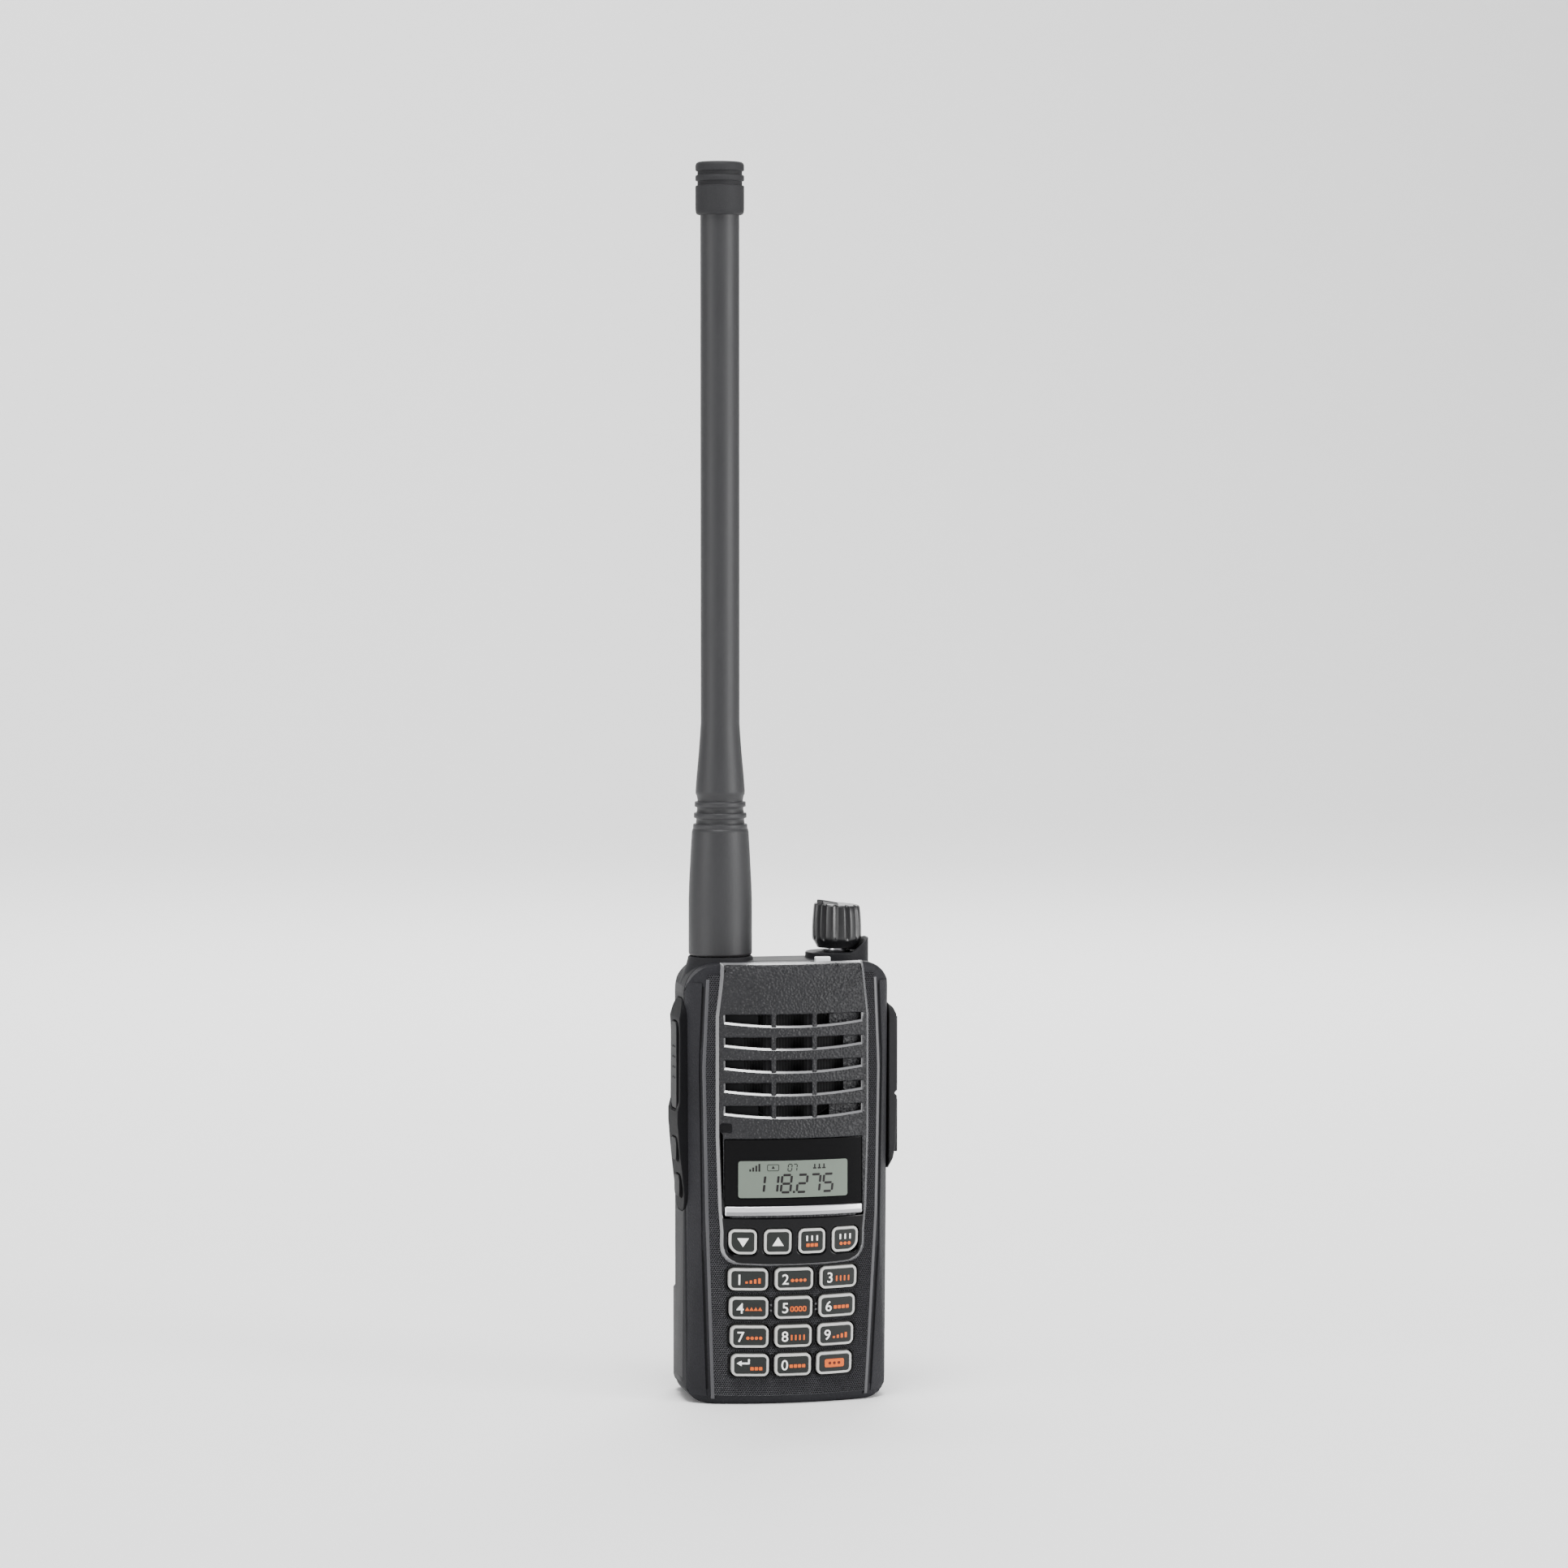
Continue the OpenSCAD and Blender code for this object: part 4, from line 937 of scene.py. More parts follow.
@dataclass
class FrontPanel:
    """The grained front panel with its speaker slots, the window, the display and the silver bar."""

    slot_half_w: float = 17.6
    open_half_w: Sequence[float] = (9.0, 12.8, 12.8, 12.8, 9.0)
    slot_top: float = 98.5
    slot_pitch: float = 5.7
    slot_edge_h: float = 2.0
    slot_bow: float = 1.1
    lip_h: float = 0.52
    lip_slope: float = 0.85
    lip_below: float = 0.28
    lcd_low: tuple[float, float] = (-14.3, 52.6)
    lcd_high: tuple[float, float] = (13.7, 62.0)
    digit_h: float = 4.3
    ink_up: float = 1.04
    ink_thick: float = 0.04
    rim_w: float = 0.62
    rim_rise: float = 0.75

    def build(self) -> None:
        """Builds every piece of the front panel."""
        panel = cad_copy("front_panel")
        slice_columns(panel, ROLL_Z, PANEL_TOP - 0.6, 0.7, 2)
        finish_piece("grained_front_panel", turn(soften(panel, 0.42, 3, 40), rolled), PANEL, "body",
                     ["front_panel"])
        self.rim()
        self.slot_pockets()
        self.slot_lips()
        self.microphone_notch()
        self.window()
        self.display()
        self.silver_bar()

    def silver_bar(self) -> None:
        """The brushed bar under the window, with a duller strip along its foot."""
        finish_piece("silver_accent_bar", soften(cad_copy("accent_bar"), 0.3, 3, 40), SILVER, "body",
                     ["accent_bar"])
        low = node_box("accent_bar")[0]
        proud = FACE_Y - low.y
        bm = slab(Vector((-17.3, low.z + 0.12, proud - 0.4)), Vector((17.3, low.z + 1.0, proud + 0.05)))
        soften(bm, 0.1, 2, 40)
        slice_columns(bm, -17, 17, 1.7)
        finish_piece("silver_bar_foot", turn(bm, on_face), DULL_SILVER, "body")

    def rim(self) -> None:
        """The smooth chamfer that runs round the panel and the function keys' well, coloured pale as a
        painted highlight.
        """
        side = [(17.5, 109.6), (18.9, 98), (18.9, 68), (18.3, 50), (17.8, 44)]
        side += [(17.8 - 4.5 * (1 - math.cos(math.radians(a))),
                  36.1 + 4.5 * (1 - math.sin(math.radians(a))))
                 for a in range(0, 91, 15)] + [(8, 35.9)]
        bm = bmesh.new()
        loop = [bm.verts.new((x, z, 1.12)) for x, z in side + [(-x, z) for x, z in reversed(side)]]
        inner = [bm.faces.new(loop)]
        bmesh.ops.recalc_face_normals(bm, faces=inner)
        if inner[0].normal.z < 0:
            bmesh.ops.reverse_faces(bm, faces=inner)
        for v in loop:
            v.co.x += math.copysign(self.rim_w, v.co.x) * min(1.0, abs(v.co.x) / 15)
            v.co.y += self.rim_w * (0.5 if v.co.y > 105 else -0.8 if v.co.y < 40 else 0.0)
        bmesh.ops.inset_region(bm, faces=inner, thickness=self.rim_w + 0.25, depth=self.rim_rise,
                               use_even_offset=True, use_boundary=True)
        bmesh.ops.delete(bm, geom=inner, context="FACES")
        bmesh.ops.translate(bm, vec=(0, 0, -self.rim_rise), verts=bm.verts)
        thicken(bm, 0.5)
        slice_columns(bm, -17, 17, 1.7)
        slice_columns(bm, ROLL_Z, 109.0, 0.7, 1)
        for v in bm.verts:
            if v.co.y > 109.2:
                v.co.z -= 0.95
        # the rim is coloured pale as a painted highlight
        finish_piece("panel_rim_chamfer", turn(turn(bm, on_face), rolled), RIM_HIGHLIGHT, "body",
                     sharp=50)

    def slot_pockets(self) -> None:
        """Blind floors behind the ends of the speaker slots; the left ones are painted near black as shade,
        the right ones keep the panel's finish.
        """
        # the left pockets take the near black painted shade, the right ones the panel finish
        for side, name, finish in ((-1, "left", GROOVE_SHADE), (1, "right", PANEL)):
            bm = bmesh.new()
            for k, reach in enumerate(self.open_half_w):
                top = self.slot_top - self.slot_pitch * k
                low = min(side * reach, side * (self.slot_half_w + 0.2))
                high = max(side * reach, side * (self.slot_half_w + 0.2))
                piece = slab(Vector((low, top - 3.3, -1.4)), Vector((high, top + 0.15, -0.35)))
                soften(piece, 0.15, 2, 40)
                slice_columns(piece, low + 1, high, 1.5)
                add(bm, piece)
            turn(bm, on_face)
            bmesh.ops.recalc_face_normals(bm, faces=bm.faces[:])
            finish_piece(f"speaker_slot_pockets_{name}", bm, finish, "body")

    def slot_lips(self) -> None:
        """The smooth lips of the speaker slots: a bowed slope below and a short one at each end, coloured
        pale as a painted highlight.
        """
        bm = bmesh.new()
        for k in range(len(self.open_half_w)):
            top = self.slot_top - self.slot_pitch * k
            lip = slab(Vector((-self.slot_half_w - 0.1, 0, 0)),
                       Vector((self.slot_half_w + 0.1, self.lip_h, 1)))
            slice_columns(lip, -17, 17, 1.0)
            for v in lip.verts:
                bow = self.slot_bow * (1 - (v.co.x / self.slot_half_w) ** 2)
                proud = 0.3 if v.co.z < 0.5 else PANEL_PROUD + 0.06 - v.co.y * self.lip_slope
                v.co.y += top - self.slot_edge_h - bow - self.lip_below
                v.co.z = proud
            add(bm, lip)
            for side in (-1, 1):
                end = slab(Vector((-0.22, top - 2.1, 0.3)),
                           Vector((0.22, top - 0.05, PANEL_PROUD + 0.03)))
                for v in end.verts:
                    if v.co.z > 1 and v.co.x < 0:
                        v.co.z -= 0.38
                    v.co.x = side * (v.co.x + self.slot_half_w)
                if side < 0:
                    bmesh.ops.reverse_faces(end, faces=end.faces[:])
                add(bm, end)
        turn(bm, on_face)
        # the lips are coloured pale as a painted highlight
        finish_piece("speaker_slot_lips", bm, RIM_HIGHLIGHT, "body", sharp=20)

    def microphone_notch(self) -> None:
        """A small framed notch at the panel's edge for the microphone, its floor painted near black as
        shade.
        """
        bm = frame_ring(2.9, 2.3, 0.5, 0.22, 0.3, 0.25, 0.9, (-17.25, 70.2), 1.28)
        turn(bm, on_face)
        finish_piece("microphone_notch_rim", bm, SIDE, "body")
        # the notch floor is painted near black as shade
        floor = thicken(rounded_face(2.2, 1.6, 0.3, (-17.25, 70.2), 1.24), 0.2)
        turn(floor, on_face)
        finish_piece("microphone_notch_floor", floor, GROOVE_SHADE, "body")

    def window(self) -> None:
        """The gloss window, with a thin sunk-edge frame round the display."""
        low, high = node_box("display_window")
        w, h = high.x - low.x, high.z - low.z
        middle = ((low.x + high.x) / 2, (low.z + high.z) / 2)
        bm = thicken(rounded_face(w, h, 0.35, middle, 0.98), 0.95)
        soften(bm, 0.12, 2, 50, lambda e: all(v.co.z > 0.9 for v in e.verts))
        slice_columns(bm, -17, 17, 1.4)
        finish_piece("gloss_display_window", turn(bm, on_face), WINDOW, "body",
                     ["display_window"])
        w, h, middle = self._display_size()
        edge = frame_ring(w + 0.5, h + 0.5, 0.95, 0.12, 0.2, 0.1, 0.4, middle, 1.12)
        slice_columns(edge, -13, 13, 2)
        finish_piece("display_edge_frame", turn(edge, on_face), WINDOW, "body")

    def _display_size(self) -> tuple[float, float, tuple[float, float]]:
        """Width, height and centre of the display."""
        low, high = self.lcd_low, self.lcd_high
        return high[0] - low[0], high[1] - low[1], ((low[0] + high[0]) / 2, (low[1] + high[1]) / 2)

    def display(self) -> None:
        """The display: a pale plate with generic digits and symbols in dark segments."""
        w, h, middle = self._display_size()
        bm = thicken(rounded_face(w, h, 0.7, middle, 1.01), 1.9)
        slice_columns(bm, -14, 14, 2)
        finish_piece("display_plate", turn(bm, on_face), LCD, "body", ["lcd_glass"])
        ink = bmesh.new()
        for k, digit in enumerate("118275"):
            add(ink, self._digit(int(digit), (-10.4 + k * 3.35 + (0.7 if k > 2 else 0), 54.0),
                                 self.digit_h))
        add(ink, thicken(rounded_face(0.6, 0.6, 0.2, (-0.35, 54.05), self.ink_up), self.ink_thick))
        for k in range(4):
            centre = (-11.3 + 0.75 * k, 59.6 + 0.22 * k)
            bar = rounded_face(0.45, 0.6 + 0.45 * k, 0.05, centre, self.ink_up)
            add(ink, thicken(bar, self.ink_thick))
        add(ink, self._box((-5.6, 60.2), 3.0, 1.7), self._digit(0, (-1.9, 59.3), 1.7),
            self._digit(7, (-0.6, 59.3), 1.7))
        for k in range(3):
            add(ink, thicken(rounded_face(0.9, 0.35, 0.1, (5.0 + 1.2 * k, 59.9), self.ink_up),
                             self.ink_thick))
            add(ink, thicken(rounded_face(0.35, 0.9, 0.1, (5.0 + 1.2 * k, 60.5), self.ink_up),
                             self.ink_thick))
        finish_piece("display_segments", turn(ink, on_face), INK_LCD, "body")

    def _box(self, centre: tuple[float, float], w: float, h: float) -> bmesh.types.BMesh:
        """A small rounded frame with a triangle in it."""
        bm = frame_ring(w, h, 0.4, 0.16, 0, 0, self.ink_thick, centre, self.ink_up)
        arrow = bmesh.new()
        bmesh.ops.create_circle(arrow, cap_ends=True, segments=3, radius=0.5,
                                matrix=Matrix.Translation((*centre, self.ink_up)))
        return add(bm, thicken(arrow, self.ink_thick))

    def _digit(self, value: int, low: tuple[float, float], h: float) -> bmesh.types.BMesh:
        """One seven-segment digit that leans a little.

        Args:
            value: the digit.
            low: its lower left corner.
            h: its height.

        Returns:
            A new mesh of its lit segments.
        """
        lit = {0: "abcdef", 1: "bc", 2: "abged", 5: "afgcd", 7: "abc", 8: "abcdefg"}[value]
        t, w = h * 0.135, h * 0.56
        bars = {"a": (w / 2, h, 0), "g": (w / 2, h / 2, 0), "d": (w / 2, 0, 0), "f": (0, h * 0.75, 1),
                "b": (w, h * 0.75, 1), "e": (0, h * 0.25, 1), "c": (w, h * 0.25, 1)}
        bm = bmesh.new()
        for name in lit:
            x, y, upright = bars[name]
            size = (t, h * 0.4) if upright else (w * 0.8, t)
            add(bm, thicken(rounded_face(*size, t * 0.3, (x, y), self.ink_up, steps=2), self.ink_thick))
        for v in bm.verts:
            v.co.x += low[0] + 0.1 * v.co.y
            v.co.y += low[1]
        return bm


PRINT_THICK = 0.05


class Symbol(Enum):
    """Generic symbols printed on keys."""

    DOTS = "dots"
    BARS = "bars"
    STEPS = "steps"
    CHEVRONS = "chevrons"
    SQUARES = "squares"
    RINGS = "rings"
    DOWN = "down"
    UP = "up"
    ENTER = "enter"
    BLOCK = "block"


@dataclass
class Key:
    """One key with its pale ring, its dark face and its print."""

    node: str
    x: float
    z: float
    w: float
    h: float
    digit: str = ""
    symbol: Symbol = Symbol.DOTS
    corner: Optional[tuple[int, int, float]] = None
    top: float = 1.12
    ring_w: float = 0.7

    def build(self) -> None:
        """Builds the key's pieces on its own body."""
        body = self.node
        ring = frame_ring(self.w, self.h, 1.45, self.ring_w, 0, 0, 1.9, (self.x, self.z), self.top,
                          self.corner)
        soften(ring, 0.27, 3, 50, lambda e: all(v.co.z > self.top - 0.05 for v in e.verts))
        slice_columns(ring, self.x - self.w / 2 + 1.2, self.x + self.w / 2 - 1, 1.6)
        finish_piece(f"{self.node}_ring", turn(ring, on_face), RING, body, [self.node])
        gap = 2 * self.ring_w - 0.04
        inner = (self.corner[0], self.corner[1], self.corner[2] - 0.7) if self.corner else None
        plate = thicken(rounded_face(self.w - gap, self.h - gap, 0.65, (self.x, self.z), self.top + 0.02,
                                     inner), 1.6)
        soften(plate, 0.12, 2, 50, lambda e: all(v.co.z > self.top for v in e.verts))
        slice_columns(plate, self.x - self.w / 2 + 1.4, self.x + self.w / 2 - 1, 1.6)
        finish_piece(f"{self.node}_face", turn(plate, on_face), KEY_FACE, body)
        self._print(body)

    def _print(self, body: str) -> None:
        """Prints the digit in white and the symbol in orange."""
        up = self.top + 0.07
        if self.digit:
            bm = lettering(self.digit, 2.6, (self.x - self.w * 0.235, self.z), up)
            finish_piece(f"{self.node}_digit", turn(bm, on_face), INK_WHITE, body)
        if self.symbol in (Symbol.UP, Symbol.DOWN):
            bm = self._shape(3, 1.55, (self.x, self.z + (0.25 if self.symbol is Symbol.DOWN else -0.25)),
                             up,
                             0 if self.symbol is Symbol.UP else 180)
            bmesh.ops.scale(bm, vec=(1.05, 0.95, 1), verts=bm.verts,
                            space=Matrix.Translation((-self.x, -self.z, 0)))
            finish_piece(f"{self.node}_symbol", turn(bm, on_face), INK_WHITE, body)
            return
        if self.symbol is Symbol.BLOCK:
            bm = thicken(rounded_face(5.1, 2.1, 0.45, (self.x, self.z), up), 0.06)
            slice_columns(bm, self.x - 2, self.x + 2, 1)
            finish_piece(f"{self.node}_block", turn(bm, on_face), INK_ORANGE, body)
            marks = bmesh.new()
            for k in range(-1, 2):
                add(marks, self._shape(12, 0.38, (self.x + 1.2 * k, self.z), up + 0.03))
            finish_piece(f"{self.node}_symbol", turn(marks, on_face), INK_DARK, body)
            return
        if self.symbol is Symbol.ENTER:
            white = bmesh.new()
            add(white, self._shape(3, 0.8, (self.x - 2.6, self.z + 0.55), up, 90),
                thicken(rounded_face(2.4, 0.42, 0.1, (self.x - 1.4, self.z + 0.55), up), PRINT_THICK),
                thicken(rounded_face(0.42, 1.3, 0.1, (self.x - 0.4, self.z + 1.0), up), PRINT_THICK))
            finish_piece(f"{self.node}_arrow", turn(white, on_face), INK_WHITE, body)
        orange = bmesh.new()
        first = self.x + (-0.5 if self.digit else 0.4)
        place = (first, self.z - 0.3 - (0.5 if self.symbol is Symbol.ENTER else 0))
        if not self.digit and self.symbol is not Symbol.ENTER:
            white = bmesh.new()
            for k in range(3):
                add(white, self._mark(k, (self.x - 1.3 + 1.3 * k, self.z + 0.75), up, 1.35, Symbol.BARS))
            finish_piece(f"{self.node}_marks", turn(white, on_face), INK_WHITE, body)
            place = (self.x - 1.06, self.z - 1.0)
        for k in range(3 if not self.digit else 4):
            add(orange, self._mark(k, (place[0] + 1.06 * k, place[1]), up, 1.35, self.symbol))
        finish_piece(f"{self.node}_symbol", turn(orange, on_face), INK_ORANGE, body)

    def _mark(self, k: int, at: tuple[float, float], up: float, h: float,
              symbol: Symbol) -> bmesh.types.BMesh:
        """One small printed mark of a symbol.

        Args:
            k: its number in the row.
            at: its centre.
            up: how far it lies above the flat.
            h: height of the row.
            symbol: which symbol.

        Returns:
            A new mesh.
        """
        if symbol is Symbol.DOTS:
            return self._shape(14, 0.42, at, up)
        if symbol is Symbol.BARS:
            return thicken(rounded_face(0.4, h, 0.1, at, up, steps=2), PRINT_THICK)
        if symbol is Symbol.STEPS:
            tall = h * (0.4 + 0.2 * k)
            return thicken(rounded_face(0.6, tall, 0.1, (at[0], at[1] - (h - tall) / 2), up, steps=2),
                           PRINT_THICK)
        if symbol is Symbol.CHEVRONS:
            return self._shape(3, 0.6, at, up)
        if symbol is Symbol.RINGS:
            return frame_ring(0.95, h, 0.4, 0.26, 0, 0, PRINT_THICK, at, up)
        return thicken(rounded_face(0.85, 0.85, 0.12, at, up, steps=2), PRINT_THICK)

    def _shape(self, sides: int, r: float, at: tuple[float, float], up: float, spin: float = 0.0) \
            -> bmesh.types.BMesh:
        """A small flat many-sided mark."""
        bm = bmesh.new()
        place = Matrix.Translation((*at, up)) @ Matrix.Rotation(math.radians(spin), 4, "Z")
        bmesh.ops.create_circle(bm, cap_ends=True, segments=sides, radius=r, matrix=place)
        return thicken(bm, PRINT_THICK)


@dataclass
class Keypad:
    """The function keys in their gloss well and the number keys in their framed wells."""

    pitch: float = 7.3
    first_z: float = 32.2
    well_margin_x: float = 1.75
    well_margin_z: float = 1.15
    symbols: Sequence[Symbol] = (Symbol.STEPS, Symbol.DOTS, Symbol.BARS, Symbol.CHEVRONS, Symbol.RINGS,
                                 Symbol.SQUARES, Symbol.DOTS, Symbol.BARS, Symbol.STEPS)

    def __post_init__(self) -> None:
        """Lays out the keys from their CAD nodes."""
        self.keys: list[Key] = []
        names = [f"key_{k}" for k in range(1, 10)] + ["key_enter", "key_0", "key_shift"]
        for i, node in enumerate(names):
            low, high = node_box(node)
            row = i // 3
            x = (low.x + high.x) / 2
            z = self.first_z - 0.2 - self.pitch * row
            w, h = 9.7 - 0.15 * row, 5.6
            if node == "key_enter":
                self.keys.append(Key(node, x, z, w, h, "", Symbol.ENTER))
            elif node == "key_shift":
                self.keys.append(Key(node, x, z, w, h, "", Symbol.BLOCK))
            else:
                symbol = self.symbols[i] if i < 9 else Symbol.SQUARES
                self.keys.append(Key(node, x, z, w, h, node[-1], symbol))
        self.number_keys = list(self.keys)
        self.function_keys = [
            Key("key_down", -13.05, 41.6, 6.9, 6.3, "", Symbol.DOWN, (-1, -1, 3.0), 1.35),
            Key("key_up", -4.35, 41.6, 6.9, 6.3, "", Symbol.UP, None, 1.35),
            Key("key_memory", 4.35, 41.6, 6.9, 6.3, "", Symbol.SQUARES, None, 1.35),
            Key("key_clear", 13.05, 41.6, 6.9, 6.3, "", Symbol.DOTS, (1, -1, 3.0), 1.35)]

    def holes(self) -> list[tuple[float, float, float, float]]:
        """Centre and size of every well, which the dotted frame leaves free."""
        return [(k.x, k.z, k.w + self.well_margin_x, k.h + self.well_margin_z) for k in self.number_keys]

    def build(self) -> None:
        """Builds the wells and the keys."""
        finish_piece("gloss_function_well", soften(cad_copy("function_bezel"), 0.42, 3, 40), WELL, "body",
                     ["function_bezel"])
        wells = bmesh.new()
        for x, z, w, h in self.holes():
            ring = frame_ring(w, h, 2.1, 0.24, (self.well_margin_z - 0.4) / 2 - 0.12, 0.45, 0.5, (x, z),
                              0.3)
            slice_columns(ring, x - w / 2 + 1.5, x + w / 2 - 1, 1.8)
            add(wells, ring)
        turn(wells, on_face)
        finish_piece("number_key_wells", wells, WELL, "body")
        nubs = bmesh.new()
        five = self.number_keys[4]
        for side in (-1, 1):
            for k in (-1, 1):
                centre = (five.x + side * (five.w / 2 + 0.95), five.z + 0.7 * k)
                add(nubs, thicken(rounded_face(0.5, 0.5, 0.2, centre, 0.62), 0.6))
        finish_piece("centre_key_nubs", turn(nubs, on_face), FRAME, "body")
        for key in self.function_keys + self.number_keys:
            key.build()


@dataclass
class SideControls:
    """The left side panel with its buttons and the jack cover on the right."""

    dot_rows: int = 4
    ribs: int = 5

    def build(self) -> None:
        """Builds the panel, the buttons and the cover."""
        finish_piece("left_side_panel", soften(cad_copy("side_panel"), 0.3, 3, 30), SIDE, "body",
                     ["side_panel"])
        for node in ("ptt_button", "upper_side_button", "lower_side_button"):
            bm = soften(cad_copy(node), 0.3, 3, 40)
            if node == "ptt_button":
                add(bm, self._dots(node))
            finish_piece(f"{node}_cap", bm, BUTTON, node, [node])
        self.jack_cover()

    def _dots(self, node: str) -> bmesh.types.BMesh:
        """Pairs of small grip dots on the push-to-talk button."""
        low, high = node_box(node)
        bm = bmesh.new()
        middle = (low.z + high.z) / 2 + 0.8
        for k in range(self.dot_rows):
            for side in (-1, 1):
                at = Matrix.Translation((low.x + 0.24, -2.2 + 1.1 * side, middle + 2.6 * (k - 1.5)))
                bmesh.ops.create_uvsphere(bm, u_segments=12, v_segments=8, radius=0.4, matrix=at)
        return bm

    def jack_cover(self) -> None:
        """The soft jack cover: bevelled slopes at its ends, a pull notch and upright ribs."""
        low, high = node_box("jack_cover")
        levels = ((57.8, 26.5), (60.6, 27.75), (64, 28.4), (76.3, 28.75), (77.0, 28.0), (77.7, 28.8),
                  (90, 28.85),
                  (97, 28.6), (98.6, 27.8), (99.8, 26.5))
        middle, deep = (low.y + high.y) / 2, high.y - low.y
        bm = rounded_face(deep, 42.0, 3.0, (0, 78.8), 0)
        for z, _ in levels[1:-1]:
            slice_columns(bm, z, z + 0.1, 1, 1)
        slice_columns(bm, -4.4, 4.4, 1.1)
        thicken(bm, 0.5)
        reach = high.x

        def bend(p: Vector) -> Vector:
            """Sets a point of the flat cover at its place on the right side."""
            if p.z < -0.1:
                return Vector((26.3, middle + p.x, p.y))
            drop = 0.25 * (abs(p.x) / (deep / 2)) ** 4
            return Vector((min(reach, between(p.y, levels)) - drop, middle + p.x, p.y))

        turn(bm, bend)
        bmesh.ops.recalc_face_normals(bm, faces=bm.faces[:])
        soften(bm, 0.35, 3, 55)
        for k in range(self.ribs):
            y = middle - 3.4 + 1.7 * k
            for z0, z1 in ((62.0, 75.4), (78.6, 96.4)):
                rib = slab(Vector((28.1, y - 0.3, z0)), Vector((reach, y + 0.3, z1)))
                soften(rib, 0.2, 2, 40)
                add(bm, rib)
        finish_piece("jack_cover_skin", bm, COVER, "jack_cover", ["jack_cover"])
        inner = slab(Vector((25.1, -5.5, 62.4)), Vector((26.5, 1.5, 95.6)))
        soften(inner, 0.5, 3, 40)
        finish_piece("jack_cover_plug", inner, SIDE, "jack_cover")


@dataclass
class RearShell:
    """The cast chassis, the battery pack, its latch and the small parts on top."""

    grip_ribs: int = 7

    def build(self) -> None:
        """Builds the rear half and the top."""
        finish_piece("cast_rear_chassis", soften(cad_copy("rear_chassis"), 0.3, 2, 30), CHASSIS, "body",
                     ["rear_chassis"])
        self.battery()
        finish_piece("battery_latch_bar", soften(cad_copy("battery_latch"), 0.25, 2, 40), BATTERY,
                     "battery_latch", ["battery_latch"])
        self.status_light()

    def battery(self) -> None:
        """The battery case with rows of grip ribs and a framed field on its back."""
        bm = soften(cad_copy("battery_case"), 0.35, 3, 25)
        high = node_box("battery_case")[1]
        for k in range(self.grip_ribs):
            rib = slab(Vector((-11, high.y - 0.5, 27 + 2.2 * k)),
                       Vector((11, high.y - 0.12, 28 + 2.2 * k)))
            soften(rib, 0.14, 2, 40)
            add(bm, rib)
        finish_piece("battery_case_skin", bm, BATTERY, "battery", ["battery_case"])
        field_plate = frame_ring(34, 34, 2.5, 0.9, 0, 0, 0.4, (0, 64), 0)
        soften(field_plate, 0.12, 2, 50)
        turn(field_plate, lambda p: Vector((-p.x, high.y - 0.35 + p.z + 0.25, p.y)))
        bmesh.ops.recalc_face_normals(field_plate, faces=field_plate.faces[:])
        finish_piece("battery_back_frame", field_plate, BATTERY, "battery")

    def status_light(self) -> None:
        """The white light pipe, its oval recess and two pinholes beside it, whose floors are painted near
        black as shade.
        """
        low, high = node_box("status_lens")
        finish_piece("status_light_pipe", soften(cad_copy("status_lens"), 0.35, 3, 40), LENS, "body",
                     ["status_lens"])
        x, y = (low.x + high.x) / 2, low.y
        rim = frame_ring(5.6, 1.7, 0.84, 0.3, 0.25, 0.2, 0.5, (x, y - 1.1), 111.12)
        finish_piece("status_light_recess", rim, CHASSIS, "body")
        # the pinholes' floors are painted near black as shade
        holes = bmesh.new()
        for k in range(2):
            add(holes, frame_ring(0.7, 0.7, 0.34, 0.12, 0.12, 0.15, 0.3, (x - 4.2 - 1.6 * k, y - 0.6),
                                  111.1))
        finish_piece("vent_pinholes", holes, GROOVE_SHADE, "body")


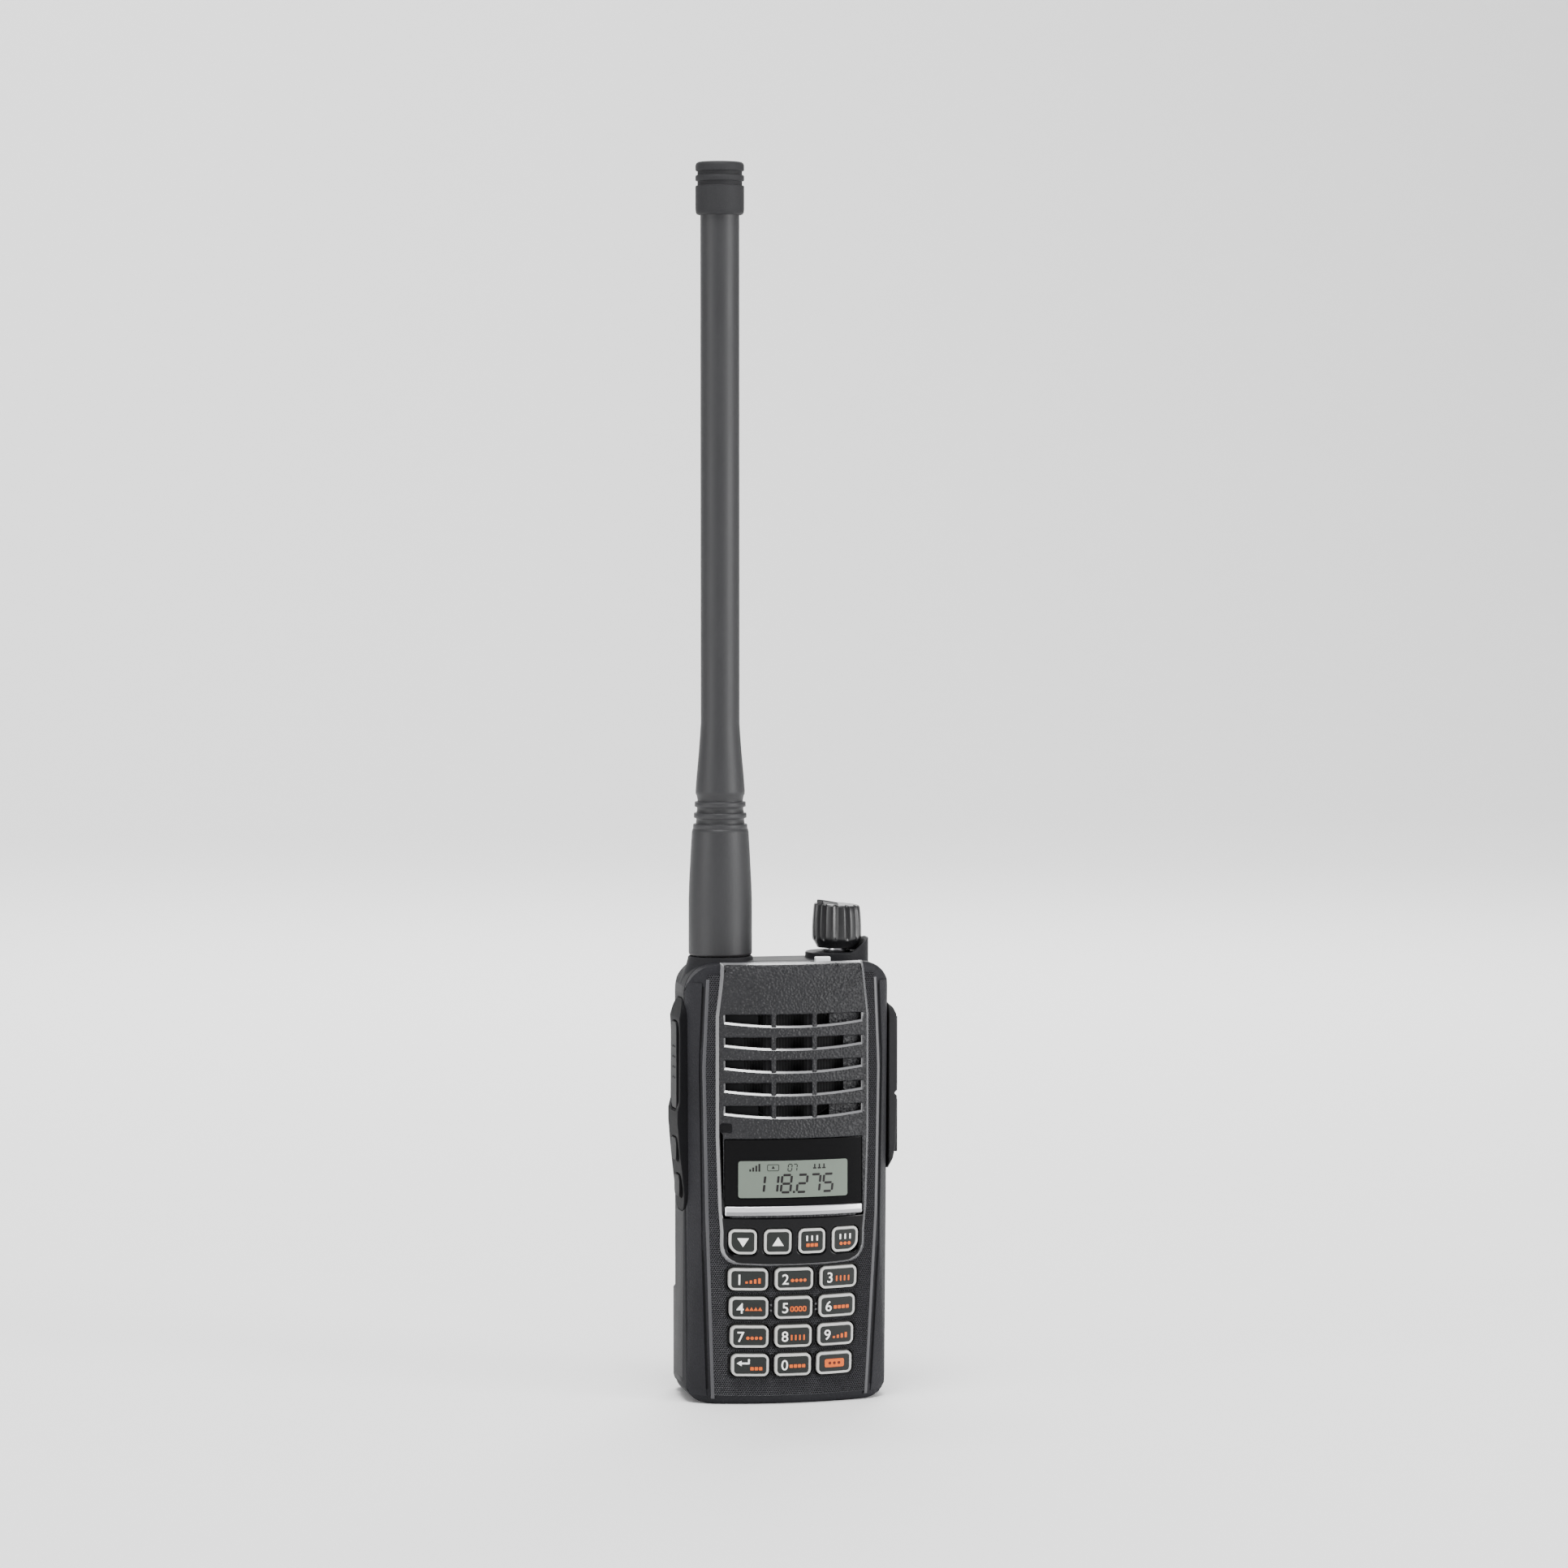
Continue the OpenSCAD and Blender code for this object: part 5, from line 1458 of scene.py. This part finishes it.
@dataclass
class Studio:
    """The camera, the pale floor and soft lights."""

    azimuth: float = -12.0
    pitch: float = 3.2
    distance: float = 1.35
    height: float = 0.2305
    aside: float = 0.00088
    lens: float = 123.3
    floor_r: float = 6.0
    wall_y: float = 3.4

    def build(self) -> None:
        """Sets the camera, the floor, the lights and the surroundings."""
        self.camera()
        self.floor()
        self.light("left light", (-1.5, -0.6, 0.28), 0.7, 14)
        self.light("right light", (1.2, -1.05, 0.35), 0.6, 26)
        self.light("top light", (-0.15, -0.45, 1.5), 0.7, 34)
        self.light("back light", (0.4, 1.2, 1.0), 0.8, 12)
        self.light("backdrop light", (0.0, 1.2, 2.2), 1.5, 100, (0.0, 3.0, 0.6))
        world = bpy.data.worlds.new("soft room")
        bpy.context.scene.world = world
        world.use_nodes = True
        world.node_tree.nodes["Background"].inputs["Color"].default_value = (1, 1, 1, 1)
        world.node_tree.nodes["Background"].inputs["Strength"].default_value = 0.42

    def camera(self) -> None:
        """A long lens from the left of the front, looking down a little."""
        turn_by, pitch = math.radians(self.azimuth), math.radians(self.pitch)
        back = Vector((math.sin(turn_by), -math.cos(turn_by), 0))
        right = Vector((math.cos(turn_by), math.sin(turn_by), 0))
        data = bpy.data.cameras.new("studio camera")
        data.lens, data.sensor_width = self.lens, 36
        data.clip_start, data.clip_end = 0.05, 50
        camera = bpy.data.objects.new("studio camera", data)
        camera.location = back * self.distance + right * self.aside + Vector((0, 0, self.height))
        look = -back * math.cos(pitch) + Vector((0, 0, -math.sin(pitch)))
        camera.rotation_euler = look.to_track_quat("-Z", "Y").to_euler()
        bpy.context.scene.collection.objects.link(camera)
        bpy.context.scene.camera = camera

    def floor(self) -> None:
        """A wide pale sweep: the floor under the radio, curved up into a backdrop."""
        bm = bmesh.new()
        bmesh.ops.create_grid(bm, x_segments=1, y_segments=1, size=self.floor_r)
        rear = [e for e in bm.edges if all(v.co.y > 0 for v in e.verts)]
        bmesh.ops.translate(bm, vec=(0, self.wall_y - self.floor_r, 0), verts=rear[0].verts[:])
        made = bmesh.ops.extrude_edge_only(bm, edges=rear)["geom"]
        bmesh.ops.translate(bm, vec=(0, 0, self.floor_r / 2),
                            verts=[g for g in made if isinstance(g, bmesh.types.BMVert)])
        fold = [e for e in bm.edges if len(e.link_faces) == 2]
        bmesh.ops.bevel(bm, geom=fold, offset=1.2, segments=16, profile=0.5, affect="EDGES", material=-1)
        for face in bm.faces:
            face.smooth = True
        mesh = bpy.data.meshes.new("floor")
        bm.to_mesh(mesh)
        bm.free()
        floor = bpy.data.objects.new("floor", mesh)
        bpy.context.scene.collection.objects.link(floor)
        paper = Finish("pale paper", (0.86, 0.86, 0.86), 0.7, Texture.SATIN, 40, 0.00001, 0.01, worn=1.0)
        floor.data.materials.append(paper.material())

    def light(self, name: str, place: tuple[float, float, float], size: float, power: float,
              target: tuple[float, float, float] = (0.0, 0.0, 0.12)) -> None:
        """A soft square light that points at a target, which is the radio unless given."""
        data = bpy.data.lights.new(name, "AREA")
        data.size, data.energy = size, power
        lamp = bpy.data.objects.new(name, data)
        lamp.location = place
        lamp.rotation_euler = (Vector(target) - lamp.location).to_track_quat("-Z", "Y").to_euler()
        bpy.context.scene.collection.objects.link(lamp)


def dress_nodes() -> None:
    """Gives each CAD node that keeps its shape its finish."""
    for node, finish in NODE_FINISHES.items():
        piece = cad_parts[node]
        for slot in piece.material_slots:
            slot.material = finish.material()
        LOG.info("%s: %s", node, finish.label)


def main() -> None:
    """Builds the sub-assemblies in order."""
    logging.basicConfig(level=logging.INFO, format="%(name)s: %(message)s")
    Studio().build()
    keypad = Keypad()
    FrontFrame(key_holes=keypad.holes()).build()
    FrontPanel().build()
    keypad.build()
    SideControls().build()
    RearShell().build()
    Antenna().build()
    VolumeKnob().build()
    dress_nodes()


if __name__ == "__main__":
    main()
